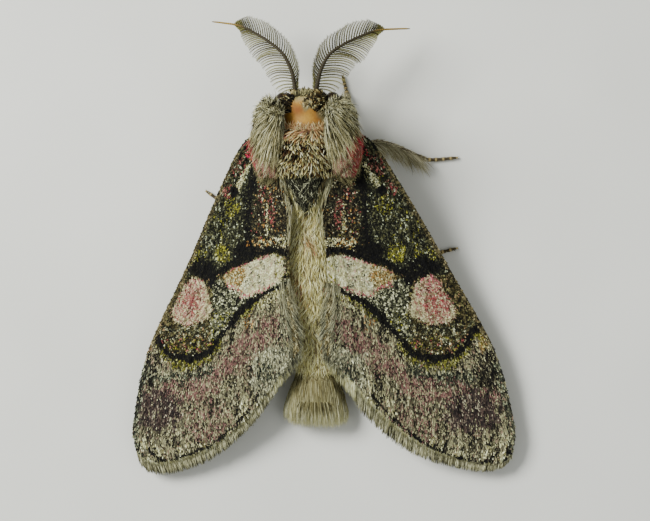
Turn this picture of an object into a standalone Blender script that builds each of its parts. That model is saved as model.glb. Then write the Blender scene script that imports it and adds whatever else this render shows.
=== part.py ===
"""A resting moth at life size: feathered feelers, furred body and tail brush, wings laid as a low roof.

The moth is laid out in its own frame, in millimetres: its body runs along y with the head at +y, x = 0 is
its middle and the floor is z = 0. Each finished piece is then moved and turned to metres by add_node.
"""

import math

import bmesh
import bpy
import numpy as np
from mathutils import Matrix

MM = 0.001
GAP = 0.3                       # clear space between neighbouring pieces
STAND = (0.18, 0.66)            # x, y of the floor point below the middle of the whole moth: the origin
SEED = 11                       # of the small differences between locks

# Bodies that run along y: y, top, underside and half width at each station
THORAX = ((7.2, 4.2, 2.9, 0.6), (6.95, 4.5, 2.35, 1.1), (6.3, 4.8, 1.75, 1.55), (5.5, 4.95, 1.4, 1.78),
          (4.6, 4.95, 1.3, 1.8), (3.8, 4.75, 1.45, 1.55), (3.15, 4.4, 1.85, 1.05), (2.85, 4.05, 2.3, 0.55))
HEAD = ((8.7, 4.1, 3.2, 0.4), (8.55, 4.4, 2.85, 0.75), (8.2, 4.6, 2.7, 0.98), (7.85, 4.55, 2.8, 0.95),
        (7.5, 4.25, 3.05, 0.6))
FACE_LOCKS = ((8.3, 90), (8.3, 68), (8.3, 112), (7.9, 80), (7.9, 100), (8.4, -60), (8.4, -120))  # y, angle
ABDOMEN = ((2.5, 3.0, 1.3, 0.75), (2.2, 3.3, 1.0, 1.1), (0.4, 3.35, 0.7, 1.4), (-1.8, 3.05, 0.5, 1.45),
           (-4.0, 2.5, 0.4, 1.35), (-5.7, 2.1, 0.4, 1.1))
BACK_LOCKS = ((6.75, (90,)), (6.3, (72, 108)), (5.75, (60, 90, 120)), (5.2, (72, 108)),
              (4.7, (60, 90, 120)))  # y, and the angles there
STRIP_WIDTH = (0.48, 0.85)      # of the locks between the wings, at the tail and at the front
BRUSH_CORE = ((-6.0, 2.05, 0.3, 1.05), (-6.5, 2.1, -0.1, 1.3), (-7.1, 1.85, -0.15, 1.35),
              (-7.5, 1.5, 0.05, 1.1))
BRUSH_TIP = -8.6                # y of the longest tail locks
BRUSH_MIDDLE = -0.14            # x of the middle of the brush's even end
BRUSH_HALF_WIDTH = 1.55
BRUSH_TIERS = ((90, 58, 122, 28, 152), (75, 105, 43, 137), (0, 180, -22, 202), (-60, -90, 240))

EYE_RADIUS = 0.55
EYE_FLATNESS = 0.8              # its width as a share of its height
EYE_CENTRE = (1.3, 8.08, 3.5)
PALP_THICKNESS = 0.5

# Shoulder tuft over the wing root: y, x, z, half width, half height at each station
TEGULA = ((8.4, 1.8, 4.66, 0.25, 0.18), (8.1, 1.83, 4.74, 0.58, 0.28), (7.4, 1.85, 4.9, 0.86, 0.38),
          (6.6, 1.98, 4.95, 0.96, 0.4), (5.8, 2.1, 4.92, 0.82, 0.38), (5.0, 2.05, 4.86, 0.56, 0.33),
          (4.4, 1.95, 4.8, 0.3, 0.24))
TEGULA_TILT = math.radians(24)  # its outer edge hangs over the wing
TEGULA_LOCKS = ((8.0, (95,)), (7.5, (135, 60)), (6.9, (100, 30)), (6.3, (130, 65)), (5.6, (95, 30)),
                (4.9, (120, 60)))  # y, and the angles there

# Feelers: the shaft's route, and how long a branch is along it, from the base on
FEELER = ((0.58, 8.98, 3.85), (0.76, 9.7, 3.88), (1.22, 10.54, 3.88), (1.95, 11.12, 3.72),
          (2.74, 11.56, 3.5), (3.57, 11.92, 3.3), (4.56, 12.06, 3.0), (5.2, 12.12, 2.8))
FEELER_SWING = math.radians(3.5)  # the left feeler is held this much further forward
BRANCH_LENGTH = {1: (0.95, 1.4, 1.5, 1.2, 0.55), -1: (0.45, 0.8, 1.0, 0.95, 0.6)}  # outer rank, inner rank
BRANCH_ANGLES = {1: (50, 100), -1: (68, 40)}  # to the shaft, at a branch's root and at its tip
BRANCH_DROOP = 0.12
BRANCHED_SHARE = 0.7            # of the feeler's length; the rest is bare
BRANCHES = 7                    # on each side
BRANCH_THICKNESS = 0.42
SHAFT_RADIUS = ((0, 0.65, 1), (0.25, 0.22, 0.1))  # at shares of its length

# Wings
WING_THICKNESS = 0.5
WING_HINGE = (2.6, 5.2)         # x, y of the turning point at the wing root
WING_SWING = math.radians(0.75)  # the right wing is spread this far past the mean, the left drawn in
RIDGE_HEIGHT = 4.12             # top of the wing along its inner margin, at the thorax
RIDGE_START = 4.4               # y from which that margin sinks towards the tail
RIDGE_SINK = 0.02               # how far it sinks in the first millimetre
RIDGE_CURVE = 1.8               # the power of the distance with which it sinks
VEIN_HEIGHT = 0.13
VEIN_HALF_WIDTH = 0.014         # as a share of the wing's chord
HINDWING_DROP = WING_THICKNESS + GAP + VEIN_HEIGHT
ROW_CROWDING = 1.35             # above 1, the rows of the grid crowd towards the wing's rounded tip

# How high the wing's front edge is, from the wing tip to the root
EAVES_Y = (-12.0, -8.0, -4.7, -2.0, 0.4, 2.8, 5.3, 6.5)
EAVES = (0.85, 0.95, 1.2, 1.55, 1.9, 2.6, 3.4, 3.7)

# Wing outlines seen from above, x away from the body. Each vein: its share of the chord, and where it starts
FOREWING = {
    "front": ((2.1, 6.35), (3.25, 6.15), (4.7, 3.9), (7.0, -0.45), (9.2, -4.7), (10.12, -8.4), (10.08, -9.7),
              (9.72, -10.68)),
    "back": ((0.8, 2.6), (1.0, -1.1), (0.66, -3.9), (0.66, -5.3)),
    "base": ((2.1, 6.35), (2.25, 5.0), (1.9, 3.75), (1.3, 3.0), (0.8, 2.6)),
    "edge": ((9.72, -10.68), (9.2, -11.1), (8.0, -11.18), (5.6, -10.4), (3.4, -8.7), (1.8, -6.75),
             (0.66, -5.3)),
    "veins": ((0.05, 0.0), (0.13, 0.0), (0.25, 0.45), (0.36, 0.5), (0.48, 0.52), (0.59, 0.5),
              (0.70, 0.42), (0.81, 0.3), (0.93, 0.0)),
    "rows": 14,
    "drop": 0.0,
}
HINDWING = {
    "front": ((2.35, 3.6), (4.4, 0.8), (6.1, -2.3), (6.4, -4.2)),
    "back": ((2.2, 2.6), (2.35, -1.1), (2.4, -4.8)),
    "base": ((2.35, 3.6), (2.15, 3.1), (2.2, 2.6)),
    "edge": ((6.4, -4.2), (5.3, -5.5), (3.8, -5.7), (2.4, -4.8)),
    "veins": ((0.12, 0.0), (0.34, 0.35), (0.52, 0.4), (0.7, 0.3), (0.88, 0.0)),
    "rows": 8,
    "drop": HINDWING_DROP,
}

# Legs: the route of each from below the thorax to the foot, for the right and the left side
LEG_THICKNESS = 0.52
LEG_TAPER = ((0, 0.15, 0.5, 0.75, 0.95, 1), (0.9, 1.15, 1.2, 0.95, 0.9, 0.6))  # at shares of its length
FOOT_HEIGHT = 0.22              # of the middle of a foot that lies on the floor
LEGS = {
    "foreleg": {
        1: ((0.8, 6.2, 1.3), (1.2, 6.8, 1.0), (1.6, 7.6, 0.95), (1.55, 8.35, 0.4), (1.45, 8.7, FOOT_HEIGHT),
            (1.2, 9.7, FOOT_HEIGHT)),
        -1: ((0.8, 6.2, 1.3), (1.25, 6.6, 1.0), (1.65, 7.15, 0.95), (1.6, 7.6, 0.4),
             (1.55, 7.9, FOOT_HEIGHT), (1.35, 8.4, FOOT_HEIGHT)),
    },
    "midleg": {
        1: ((0.95, 4.9, 0.95), (1.9, 5.4, 1.2), (3.3, 6.1, 1.5), (5.3, 5.4, 0.6), (5.9, 5.25, FOOT_HEIGHT),
            (7.3, 5.35, FOOT_HEIGHT)),
        -1: ((0.95, 4.9, 0.95), (1.9, 5.1, 1.2), (3.2, 4.6, 1.4), (4.5, 3.1, 0.5), (5.1, 3.0, FOOT_HEIGHT),
             (6.2, 3.7, FOOT_HEIGHT)),
    },
    "hindleg": {
        1: ((0.85, 3.5, 1.45), (1.9, 2.9, 1.2), (3.2, 2.2, 1.15), (5.2, 0.7, 0.45),
            (5.9, 0.35, FOOT_HEIGHT), (7.3, 0.65, FOOT_HEIGHT)),
        -1: ((0.85, 3.5, 1.45), (1.9, 2.8, 1.2), (3.0, 1.9, 1.15), (4.4, 0.4, 0.45), (5.0, 0.1, FOOT_HEIGHT),
             (6.0, 0.1, FOOT_HEIGHT)),
    },
}
# Shin locks: how many, their length, and the way they hang for a right leg
SHIN_LOCKS = {
    "foreleg": (4, 0.7, (-0.3, 0.2, -0.5)),
    "midleg": (7, 1.15, (0.25, -1.0, -0.35)),
    "hindleg": (5, 0.8, (0.4, -0.9, -0.15)),
}

# Finishes: linear colour and roughness
FINISHES = {
    "tan_fur": ((0.39, 0.30, 0.14), 0.85),
    "grey_brown_fur": ((0.16, 0.13, 0.08), 0.85),
    "wing_scales": ((0.11, 0.085, 0.05), 0.7),
    "pale_wing_scales": ((0.25, 0.2, 0.13), 0.7),
    "dark_cornea": ((0.012, 0.01, 0.008), 0.2),
    "brown_cuticle": ((0.2, 0.11, 0.04), 0.45),
}

random_draw = np.random.default_rng(SEED)


def unit(vector):
    vector = np.asarray(vector, float)
    return vector / np.linalg.norm(vector, axis=-1, keepdims=True)


def smooth_line(points, count, dense=40):
    """Points spaced evenly along the Catmull-Rom curve through the given points."""
    given = np.asarray(points, float)
    ends = np.vstack([2 * given[0] - given[1], given, 2 * given[-1] - given[-2]])
    t = np.linspace(0, 1, dense, endpoint=False)[:, None]
    runs = []
    for a, b, c, d in zip(ends, ends[1:], ends[2:], ends[3:]):
        bend = (2 * a - 5 * b + 4 * c - d) * t**2 + (3 * b - a - 3 * c + d) * t**3
        runs.append(0.5 * (2 * b + (c - a) * t + bend))
    line = np.vstack(runs + [given[-1:]])
    along = np.concatenate([[0], np.cumsum(np.linalg.norm(np.diff(line, axis=0), axis=1))])
    wanted = np.linspace(0, along[-1], count)
    return np.stack([np.interp(wanted, along, line[:, k]) for k in range(line.shape[1])], axis=1)


def mesh_object(name, points, faces):
    """A new object from points and faces, its faces turned outwards and cut into triangles."""
    mesh = bpy.data.meshes.new(name)
    mesh.from_pydata([tuple(p) for p in points], [], [tuple(f) for f in faces])
    shape = bmesh.new()
    shape.from_mesh(mesh)
    bmesh.ops.recalc_face_normals(shape, faces=shape.faces)
    bmesh.ops.triangulate(shape, faces=shape.faces, quad_method="FIXED")
    shape.to_mesh(mesh)
    shape.free()
    obj = bpy.data.objects.new(name, mesh)
    bpy.context.scene.collection.objects.link(obj)
    return obj


def finish_material(name, colour, roughness):
    material = bpy.data.materials.new(name)
    material.use_nodes = True
    shader = material.node_tree.nodes["Principled BSDF"]
    shader.inputs["Base Color"].default_value = (*colour, 1.0)
    shader.inputs["Roughness"].default_value = roughness
    shader.inputs["Metallic"].default_value = 0.0
    return material


def ring_body(name, rings, first=None, last=None):
    """A closed body through rings of points. Fans to the points given, or to the rings' middles, end it."""
    rings = np.asarray(rings, float)
    count, sides = rings.shape[:2]
    first = rings[0].mean(axis=0) if first is None else first
    last = rings[-1].mean(axis=0) if last is None else last
    points = np.vstack([rings.reshape(-1, 3), first, last])
    faces = []
    for i in range(count - 1):
        for j in range(sides):
            k = (j + 1) % sides
            faces.append((i * sides + j, i * sides + k, (i + 1) * sides + k, (i + 1) * sides + j))
    tail = (count - 1) * sides
    for j in range(sides):
        k = (j + 1) % sides
        faces.append((k, j, count * sides))
        faces.append((tail + j, tail + k, count * sides + 1))
    return mesh_object(name, points, faces)


def long_body(name, stations, count, sides, floor=None):
    """A body along y through stations of y, top, underside and half width. No point goes below the floor."""
    line = smooth_line(stations, count)
    angle = np.linspace(0, 2 * math.pi, sides, endpoint=False)
    middle = (line[:, 1] + line[:, 2]) / 2
    x = line[:, 3, None] * np.cos(angle)
    z = middle[:, None] + (line[:, 1] - line[:, 2])[:, None] / 2 * np.sin(angle)
    if floor is not None:
        z = np.maximum(z, floor)
    y = np.broadcast_to(line[:, 0, None], x.shape)
    return ring_body(name, np.stack([x, y, z], axis=2))


def on_body(stations, y, angle):
    """A point of a long body and the direction out of it there. Angle 0 is its right side, 90 its top."""
    line = smooth_line(stations, 80)
    order = np.argsort(line[:, 0])
    top, low, half = [np.interp(y, line[order, 0], line[order, k]) for k in (1, 2, 3)]
    turn = math.radians(angle)
    high = (top - low) / 2
    point = np.array([half * math.cos(turn), y, (top + low) / 2 + high * math.sin(turn)])
    return point, unit((math.cos(turn) / half, 0.0, math.sin(turn) / high))


def egg(name, centre, half, count=8, sides=14):
    """An egg along y: its rings shrink as the cosine of the angle from its middle."""
    angle = np.linspace(-0.9, 0.9, count) * math.pi / 2
    around = np.linspace(0, 2 * math.pi, sides, endpoint=False)
    x = centre[0] + half[0] * np.outer(np.cos(angle), np.cos(around))
    z = centre[2] + half[2] * np.outer(np.cos(angle), np.sin(around))
    y = np.broadcast_to((centre[1] + half[1] * np.sin(angle))[:, None], x.shape)
    ends = [(centre[0], centre[1] + k * half[1], centre[2]) for k in (-1, 1)]
    return ring_body(name, np.stack([x, y, z], axis=2), ends[0], ends[1])


def tube(name, path, radii, sides=6, floor=None):
    """A round limb along a path. Corners below the floor are lifted to it, which gives a small flat."""
    path = np.asarray(path, float)
    run = unit(np.gradient(path, axis=0))
    side = unit(np.cross(run, (0.0, 0.0, 1.0)))
    top = np.cross(side, run)
    angle = np.linspace(0, 2 * math.pi, sides, endpoint=False) + math.pi / sides + math.pi / 2
    around = np.cos(angle)[None, :, None] * side[:, None] + np.sin(angle)[None, :, None] * top[:, None]
    rings = path[:, None] + around * np.asarray(radii, float)[:, None, None]
    if floor is not None:
        rings[..., 2] = np.maximum(rings[..., 2], floor)
    return ring_body(name, rings)


def blade(spine, wide, thick, face):
    """A tapered blade with four corners round each point of its spine and a sharp tip."""
    spine = np.asarray(spine, float)
    run = unit(np.gradient(spine, axis=0))
    across = unit(np.cross(run, face))
    up = np.cross(across, run)
    half_wide = np.asarray(wide, float)[:, None] / 2
    half_thick = np.asarray(thick, float)[:, None] / 2
    corners = [spine[:-1] + across[:-1] * half_wide, spine[:-1] + up[:-1] * half_thick,
               spine[:-1] - across[:-1] * half_wide, spine[:-1] - up[:-1] * half_thick]
    return ring_body("blade", np.stack(corners, axis=1), last=spine[-1])


def lock(root, out, lie, length, width, thickness=0.45, lift=0.25, droop=0.1, sink=0.35, floor=None,
         taper=0.75):
    """A flat tapered lock of hair. It rises from below the skin at root, bends over and follows the lie."""
    share = np.array([0.0, 0.3, 0.7, 1.0])
    lie = unit(np.asarray(lie) - np.dot(lie, out) * out * 0.8)
    rise = np.sin(np.minimum(share * 1.7, 1.0) * math.pi / 2)
    spine = root + lie * (length * share)[:, None]
    spine = spine + out * (-sink + (sink + lift) * rise - droop * share**2)[:, None]
    if floor is not None:
        low = np.array([thickness, thickness, thickness * 0.7, 0.1]) / 2 + floor
        spine[:, 2] = np.maximum(spine[:, 2], low)
    return blade(spine, np.array([0.8, 1.0, taper]) * width, np.array([1.0, 1.0, 0.65]) * thickness, out)


def vary(value, part=0.12):
    """The value, made up to this part larger or smaller."""
    return value * (1 + part * random_draw.uniform(-1, 1))


def fuse(base, pieces):
    """Joins the pieces to the base by one Boolean union, and keeps the largest closed surface."""
    group = bpy.data.collections.new(base.name + "_pieces")
    bpy.context.scene.collection.children.link(group)
    for piece in pieces:
        bpy.context.scene.collection.objects.unlink(piece)
        group.objects.link(piece)
    union = base.modifiers.new("join", "BOOLEAN")
    union.operation = "UNION"
    union.operand_type = "COLLECTION"
    union.collection = group
    union.solver = "EXACT"
    apply_modifiers(base)
    for piece in pieces:
        bpy.data.objects.remove(piece)
    bpy.data.collections.remove(group)
    keep_largest(base)
    return base


def apply_modifiers(obj):
    graph = bpy.context.evaluated_depsgraph_get()
    joined = bpy.data.meshes.new_from_object(obj.evaluated_get(graph))
    obj.modifiers.clear()
    obj.data = joined


def keep_largest(obj):
    """Leaves only the largest closed surface of a mesh."""
    shape = bmesh.new()
    shape.from_mesh(obj.data)
    unseen = set(shape.faces)
    islands = []
    while unseen:
        island = [unseen.pop()]
        for face in island:
            for edge in face.edges:
                for other in edge.link_faces:
                    if other in unseen:
                        unseen.discard(other)
                        island.append(other)
        islands.append(island)
    islands.sort(key=lambda faces: sum(face.calc_area() for face in faces))
    spare = [face for island in islands[:-1] for face in island]
    bmesh.ops.delete(shape, geom=spare, context="FACES")
    shape.to_mesh(obj.data)
    shape.free()


def add_node(obj, material):
    """Stands a finished piece on the origin, turns its millimetres to metres and gives it its material."""
    obj.data.transform(Matrix.Scale(MM, 4) @ Matrix.Translation((-STAND[0], -STAND[1], 0.0)))
    obj.data.materials.clear()
    obj.data.materials.append(material)
    obj.data.shade_smooth()
    obj.data.set_sharp_from_angle(angle=math.radians(40))


def side_name(kind, side):
    return kind + ("_right" if side > 0 else "_left")


def eye_place(side):
    return side * EYE_CENTRE[0], EYE_CENTRE[1], EYE_CENTRE[2]


def head():
    """The skull with a hollow round each eye, and locks that stand forward over the face."""
    skull = long_body("head", HEAD, 9, 16)
    for side in (1, -1):
        room = EYE_RADIUS + 0.8 * GAP
        cutter = egg("socket", eye_place(side), (EYE_FLATNESS * room + 0.05, room, room))
        cut = skull.modifiers.new("socket", "BOOLEAN")
        cut.operation = "DIFFERENCE"
        cut.object = cutter
        apply_modifiers(skull)
        bpy.data.objects.remove(cutter)
    locks = []
    for y, angle in FACE_LOCKS:
        root, out = on_body(HEAD, y, angle)
        locks.append(lock(root, out, (0.0, 1.0, 0.15), vary(0.5), 0.5, 0.4, lift=0.12, sink=0.3))
    return fuse(skull, locks)


def eye(side):
    half = (EYE_FLATNESS * EYE_RADIUS, EYE_RADIUS, EYE_RADIUS)
    return egg(side_name("eye", side), eye_place(side), half)


def palp(side):
    """A short furred feeler below the face."""
    x = side * (PALP_THICKNESS + GAP) / 2
    face = HEAD[1][0]
    low = HEAD[2][2] - GAP - PALP_THICKNESS / 2
    path = smooth_line(((x, face - 0.75, low), (x, face - 0.25, low), (1.1 * x, face + 0.1, low + 0.25)), 6)
    radii = PALP_THICKNESS / 2 * np.array([0.75, 1.0, 1.0, 0.95, 0.8, 0.45])
    return tube(side_name("palp", side), path, radii, sides=8)


def antenna(side):
    """A feeler: a tapering shaft with a rank of curved branches on each side and a bare end."""
    path = smooth_line(FEELER, 18)
    path[:, 1] -= side * math.tan(FEELER_SWING) * (path[:, 0] - path[0, 0])
    path *= (side, 1, 1)
    share = np.linspace(0, 1, len(path))
    shaft = tube(side_name("antenna", side), path, np.interp(share, *SHAFT_RADIUS))
    run = unit(np.gradient(path, axis=0))
    branches = []
    for rank, lengths in BRANCH_LENGTH.items():
        for step in range(BRANCHES):
            at = BRANCHED_SHARE * (step + 0.6) / BRANCHES
            k = int(round(at * (len(path) - 1)))
            level = unit(np.cross(run[k], (0.0, 0.0, 1.0))) * rank * side
            length = vary(np.interp(at / BRANCHED_SHARE, np.linspace(0, 1, len(lengths)), lengths), 0.05)
            turns = np.radians(BRANCH_ANGLES[rank])
            ways = [run[k] * math.cos(turn) + level * math.sin(turn) for turn in turns]
            middle = path[k] + ways[0] * length / 2
            tip = middle + ways[1] * length / 2 - (0.0, 0.0, BRANCH_DROOP)
            spine = (path[k], middle, tip)
            thick = BRANCH_THICKNESS * np.array([1.0, 0.75])
            branches.append(blade(spine, thick, thick, (0.0, 0.0, 1.0)))
    return fuse(shaft, branches)


def thorax():
    """The furred middle body: erect locks on its back, a tuft that points back, soft locks below."""
    body = long_body("thorax", THORAX, 12, 20)
    locks = []
    for y, angles in BACK_LOCKS:
        for angle in angles:
            root, out = on_body(THORAX, y, angle)
            locks.append(lock(root, out, (0.0, -1.0, 0.25), vary(1.15), 0.74, lift=vary(0.34), droop=0.0))
    for angle in (72, 90, 108):
        root, out = on_body(THORAX, 4.2, angle)
        locks.append(lock(root, out, (0.0, -1.0, -0.05), vary(1.75), 0.66, lift=0.22, droop=0.35))
    for side in (1, -1):
        for y in (6.3, 4.2):
            root, out = on_body(THORAX, y, 90 - 120 * side)
            locks.append(lock(root, out, (0.0, -1.0, -0.5), vary(0.9), 0.6, 0.4, lift=0.1))
    for y in (5.6, 4.3):
        root, out = on_body(THORAX, y, -90)
        locks.append(lock(root, out, (0.0, -1.0, 0.0), vary(0.9), 0.6, 0.4, lift=0.15))
    return fuse(body, locks)


def on_tegula(side, y, angle):
    """A point of the shoulder tuft and the direction out of it. Angle 0 is its outer edge, 90 its top."""
    line = smooth_line(TEGULA, 60)[::-1]
    x, z, half, high = [np.interp(y, line[:, 0], line[:, k]) for k in (1, 2, 3, 4)]
    turn = np.radians(angle)
    flat = half * np.cos(turn)
    up = high * np.sin(turn)
    tilted_x = x + flat * math.cos(TEGULA_TILT) + up * math.sin(TEGULA_TILT)
    tilted_z = z - flat * math.sin(TEGULA_TILT) + up * math.cos(TEGULA_TILT)
    point = np.stack([side * tilted_x, np.full_like(flat, y), tilted_z], axis=-1)
    away = np.cos(turn) / half
    over = np.sin(turn) / high
    out_x = away * math.cos(TEGULA_TILT) + over * math.sin(TEGULA_TILT)
    out_z = over * math.cos(TEGULA_TILT) - away * math.sin(TEGULA_TILT)
    return point, unit(np.stack([side * out_x, np.zeros_like(flat), out_z], axis=-1))


def tegula(side):
    """The tuft over the wing root, long locks sweeping back and outwards from beside the head."""
    angle = np.linspace(0, 360, 12, endpoint=False)
    rings = [on_tegula(side, y, angle)[0] for y in smooth_line(TEGULA, 10)[:, 0]]
    body = ring_body(side_name("tegula", side), rings)
    locks = []
    for y, turns in TEGULA_LOCKS:
        for turn in turns:
            root, out = on_tegula(side, y, float(turn))
            outwards = 0.15 + 0.4 * math.cos(math.radians(turn))
            locks.append(lock(root, out, (side * outwards, -1.0, 0.0), vary(1.45), 0.8, 0.42,
                              lift=vary(0.22), droop=0.12, sink=0.25))
    return fuse(body, locks)


def abdomen():
    """The hind body: locks along the strip between the wings, on both flanks and below."""
    body = long_body("abdomen", ABDOMEN, 12, 18)
    locks = []
    for step, y in enumerate(np.linspace(1.9, -4.1, 9)):
        root, out = on_body(ABDOMEN, y, 90 + 3 * (-1) ** step)
        width = np.interp(y, (-4.1, 1.9), STRIP_WIDTH)
        locks.append(lock(root, out, (0.0, -1.0, 0.0), vary(1.35), width, lift=0.2, droop=0.12))
    for side in (1, -1):
        for angle, shift in ((-10, 0.5), (-45, 0.0)):
            for y in np.arange(1.0, -4.6, -1.5) + shift:
                root, out = on_body(ABDOMEN, y, 90 - side * (90 - angle))
                locks.append(lock(root, out, (side * 0.15, -1.0, -0.1), vary(1.4), 0.85, 0.42, lift=0.12,
                                  floor=0.08))
    return fuse(body, locks)


def anal_tuft():
    """The broad brush at the end of the abdomen. Its lowest locks lie on the floor."""
    core = long_body("anal_tuft", BRUSH_CORE, 6, 16, floor=0.0)
    locks = []
    for level, tier in enumerate(BRUSH_TIERS):
        for angle in tier:
            root, out = on_body(BRUSH_CORE, -6.75 - 0.12 * level, angle)
            root[2] = max(root[2], 0.1)
            spread = BRUSH_MIDDLE + BRUSH_HALF_WIDTH * math.cos(math.radians(angle))
            tip = np.array([spread, BRUSH_TIP + 0.25 * abs(math.cos(math.radians(angle))) ** 3, 0.0])
            reach = tip - root
            reach[2] = -0.28 * max(root[2] - 0.5, 0)
            length = vary(np.linalg.norm(reach), 0.05)
            locks.append(lock(root, out, reach, length, 0.8, 0.5, lift=0.05, droop=0.1, sink=0.3, floor=0.0,
                              taper=0.95))
    return fuse(core, locks)


def roof_height(x, y):
    """Height of the forewing's upper face: high along the body, falling to the front edge near the floor."""
    ridge = RIDGE_HEIGHT - RIDGE_SINK * np.maximum(RIDGE_START - y, 0.0) ** RIDGE_CURVE
    costa = smooth_line(FOREWING["front"], 60)[::-1]
    reach = np.interp(y, costa[:, 1], costa[:, 0])
    eaves = np.interp(y, EAVES_Y, EAVES)
    inner = FOREWING["back"][0][0]
    return ridge + (eaves - ridge) * np.clip((x - inner) / (reach - inner), 0.0, 1.1)


def wing_plan(shape, rows, columns):
    """A Coons patch between the wing's four edges, for shares along the wing and across its chord."""
    at = np.linspace(0, 1, 400)
    edges = {name: smooth_line(shape[name], 400) for name in ("front", "back", "base", "edge")}

    def on(name, t):
        return np.stack([np.interp(t, at, edges[name][:, k]) for k in range(2)], axis=-1)

    u = rows[:, None, None]
    v = columns[None, :, None]
    along = (1 - v) * on("front", rows)[:, None] + v * on("back", rows)[:, None]
    across = (1 - u) * on("base", columns)[None] + u * on("edge", columns)[None]
    first = (1 - v) * edges["front"][0] + v * edges["back"][0]
    last = (1 - v) * edges["front"][-1] + v * edges["back"][-1]
    return along + across - (1 - u) * first - u * last


def vein_columns(veins, widest=0.121):
    """Chord shares for the grid: the margins, each vein's crest and two feet, and one in each wide space."""
    shares = [0.0, 1.0]
    for place, _ in veins:
        shares += [place - VEIN_HALF_WIDTH, place, place + VEIN_HALF_WIDTH]
    stops = [0.0] + [place for place, _ in veins] + [1.0]
    for a, b in zip(stops, stops[1:]):
        if b - a > widest:
            shares.append((a + b) / 2)
    return np.array(sorted(shares))


def wing(name, side, shape):
    """A wing as a thin curved plate, its main veins raised in the upper face."""
    rows = 1 - np.linspace(1, 0, shape["rows"]) ** ROW_CROWDING
    columns = vein_columns(shape["veins"])
    plan = wing_plan(shape, rows, columns)
    top = roof_height(plan[..., 0], plan[..., 1]) - shape["drop"]
    bump = np.zeros_like(top)
    for place, start in shape["veins"]:
        crest = np.abs(columns - place) < VEIN_HALF_WIDTH / 2
        rise = np.clip((rows - start) / 0.08 + 0.5, 0, 1) if start else np.ones(len(rows))
        bump[:, crest] += (VEIN_HEIGHT * rise * np.clip((1.0 - rows) / 0.05, 0, 1))[:, None]
    swing = WING_SWING * side
    away = plan - WING_HINGE
    x = WING_HINGE[0] + away[..., 0] * math.cos(swing) - away[..., 1] * math.sin(swing)
    y = WING_HINGE[1] + away[..., 1] * math.cos(swing) + away[..., 0] * math.sin(swing)
    upper = np.stack([side * x, y, top + bump], axis=-1).reshape(-1, 3)
    lower = np.stack([side * x, y, top - WING_THICKNESS], axis=-1).reshape(-1, 3)
    index = np.arange(top.size).reshape(top.shape)
    faces = []
    for i in range(len(rows) - 1):
        for j in range(len(columns) - 1):
            a, b, c, d = index[i, j], index[i + 1, j], index[i + 1, j + 1], index[i, j + 1]
            for triangle in ((a, b, c), (a, c, d)):
                faces.append(triangle)
                faces.append([top.size + k for k in reversed(triangle)])
    rim = list(index[0, :-1]) + list(index[:-1, -1]) + list(index[-1, :0:-1]) + list(index[:0:-1, 0])
    for a, b in zip(rim, rim[1:] + rim[:1]):
        faces.append((a, b, top.size + b))
        faces.append((a, top.size + b, top.size + a))
    return mesh_object(name, np.vstack([upper, lower]), faces)


def leg(kind, side):
    """A leg from its root below the thorax to the foot, with locks hanging from its shin."""
    path = smooth_line(LEGS[kind][side], 13) * (side, 1, 1)
    share = np.linspace(0, 1, len(path))
    radii = LEG_THICKNESS / 2 * np.interp(share, *LEG_TAPER)
    limb = tube(side_name(kind, side), path, radii, sides=8, floor=0.0)
    count, length, hang = SHIN_LOCKS[kind]
    run = unit(np.gradient(path, axis=0))
    locks = []
    for step in range(count):
        k = 3 + 5.0 * step / max(count - 1, 1)
        low = int(k)
        root = path[low] + (path[low + 1] - path[low]) * (k - low)
        lie = unit(np.array(hang) * (side, 1, 1) + run[low] * 0.45)
        out = unit(np.cross(run[low], lie))
        out = out if out[2] > 0 else -out
        locks.append(lock(root, out, lie, vary(length), 0.55, 0.42, lift=0.05, sink=0.05, floor=0.02))
    return fuse(limb, locks)


def build():
    for obj in list(bpy.data.objects):
        bpy.data.objects.remove(obj, do_unlink=True)

    finish = {name: finish_material(name, *values) for name, values in FINISHES.items()}
    add_node(head(), finish["tan_fur"])
    add_node(thorax(), finish["grey_brown_fur"])
    add_node(abdomen(), finish["tan_fur"])
    add_node(anal_tuft(), finish["tan_fur"])
    for side in (1, -1):
        add_node(eye(side), finish["dark_cornea"])
        add_node(palp(side), finish["tan_fur"])
        add_node(antenna(side), finish["brown_cuticle"])
        add_node(tegula(side), finish["grey_brown_fur"])
        add_node(wing(side_name("forewing", side), side, FOREWING), finish["wing_scales"])
        add_node(wing(side_name("hindwing", side), side, HINDWING), finish["pale_wing_scales"])
        for kind in LEGS:
            add_node(leg(kind, side), finish["grey_brown_fur"])


build()
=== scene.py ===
"""Looks of a resting moth at life size: skins, wing scales, fringe, fur, feathered feelers, eyes and legs.

The moth is laid out in millimetres in its own frame, as in the solids: its body runs along y with the head
at +y, x = 0 is its middle and the floor is z = 0. The function piece moves each mesh to the frame's metres.
"""

import math

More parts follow.
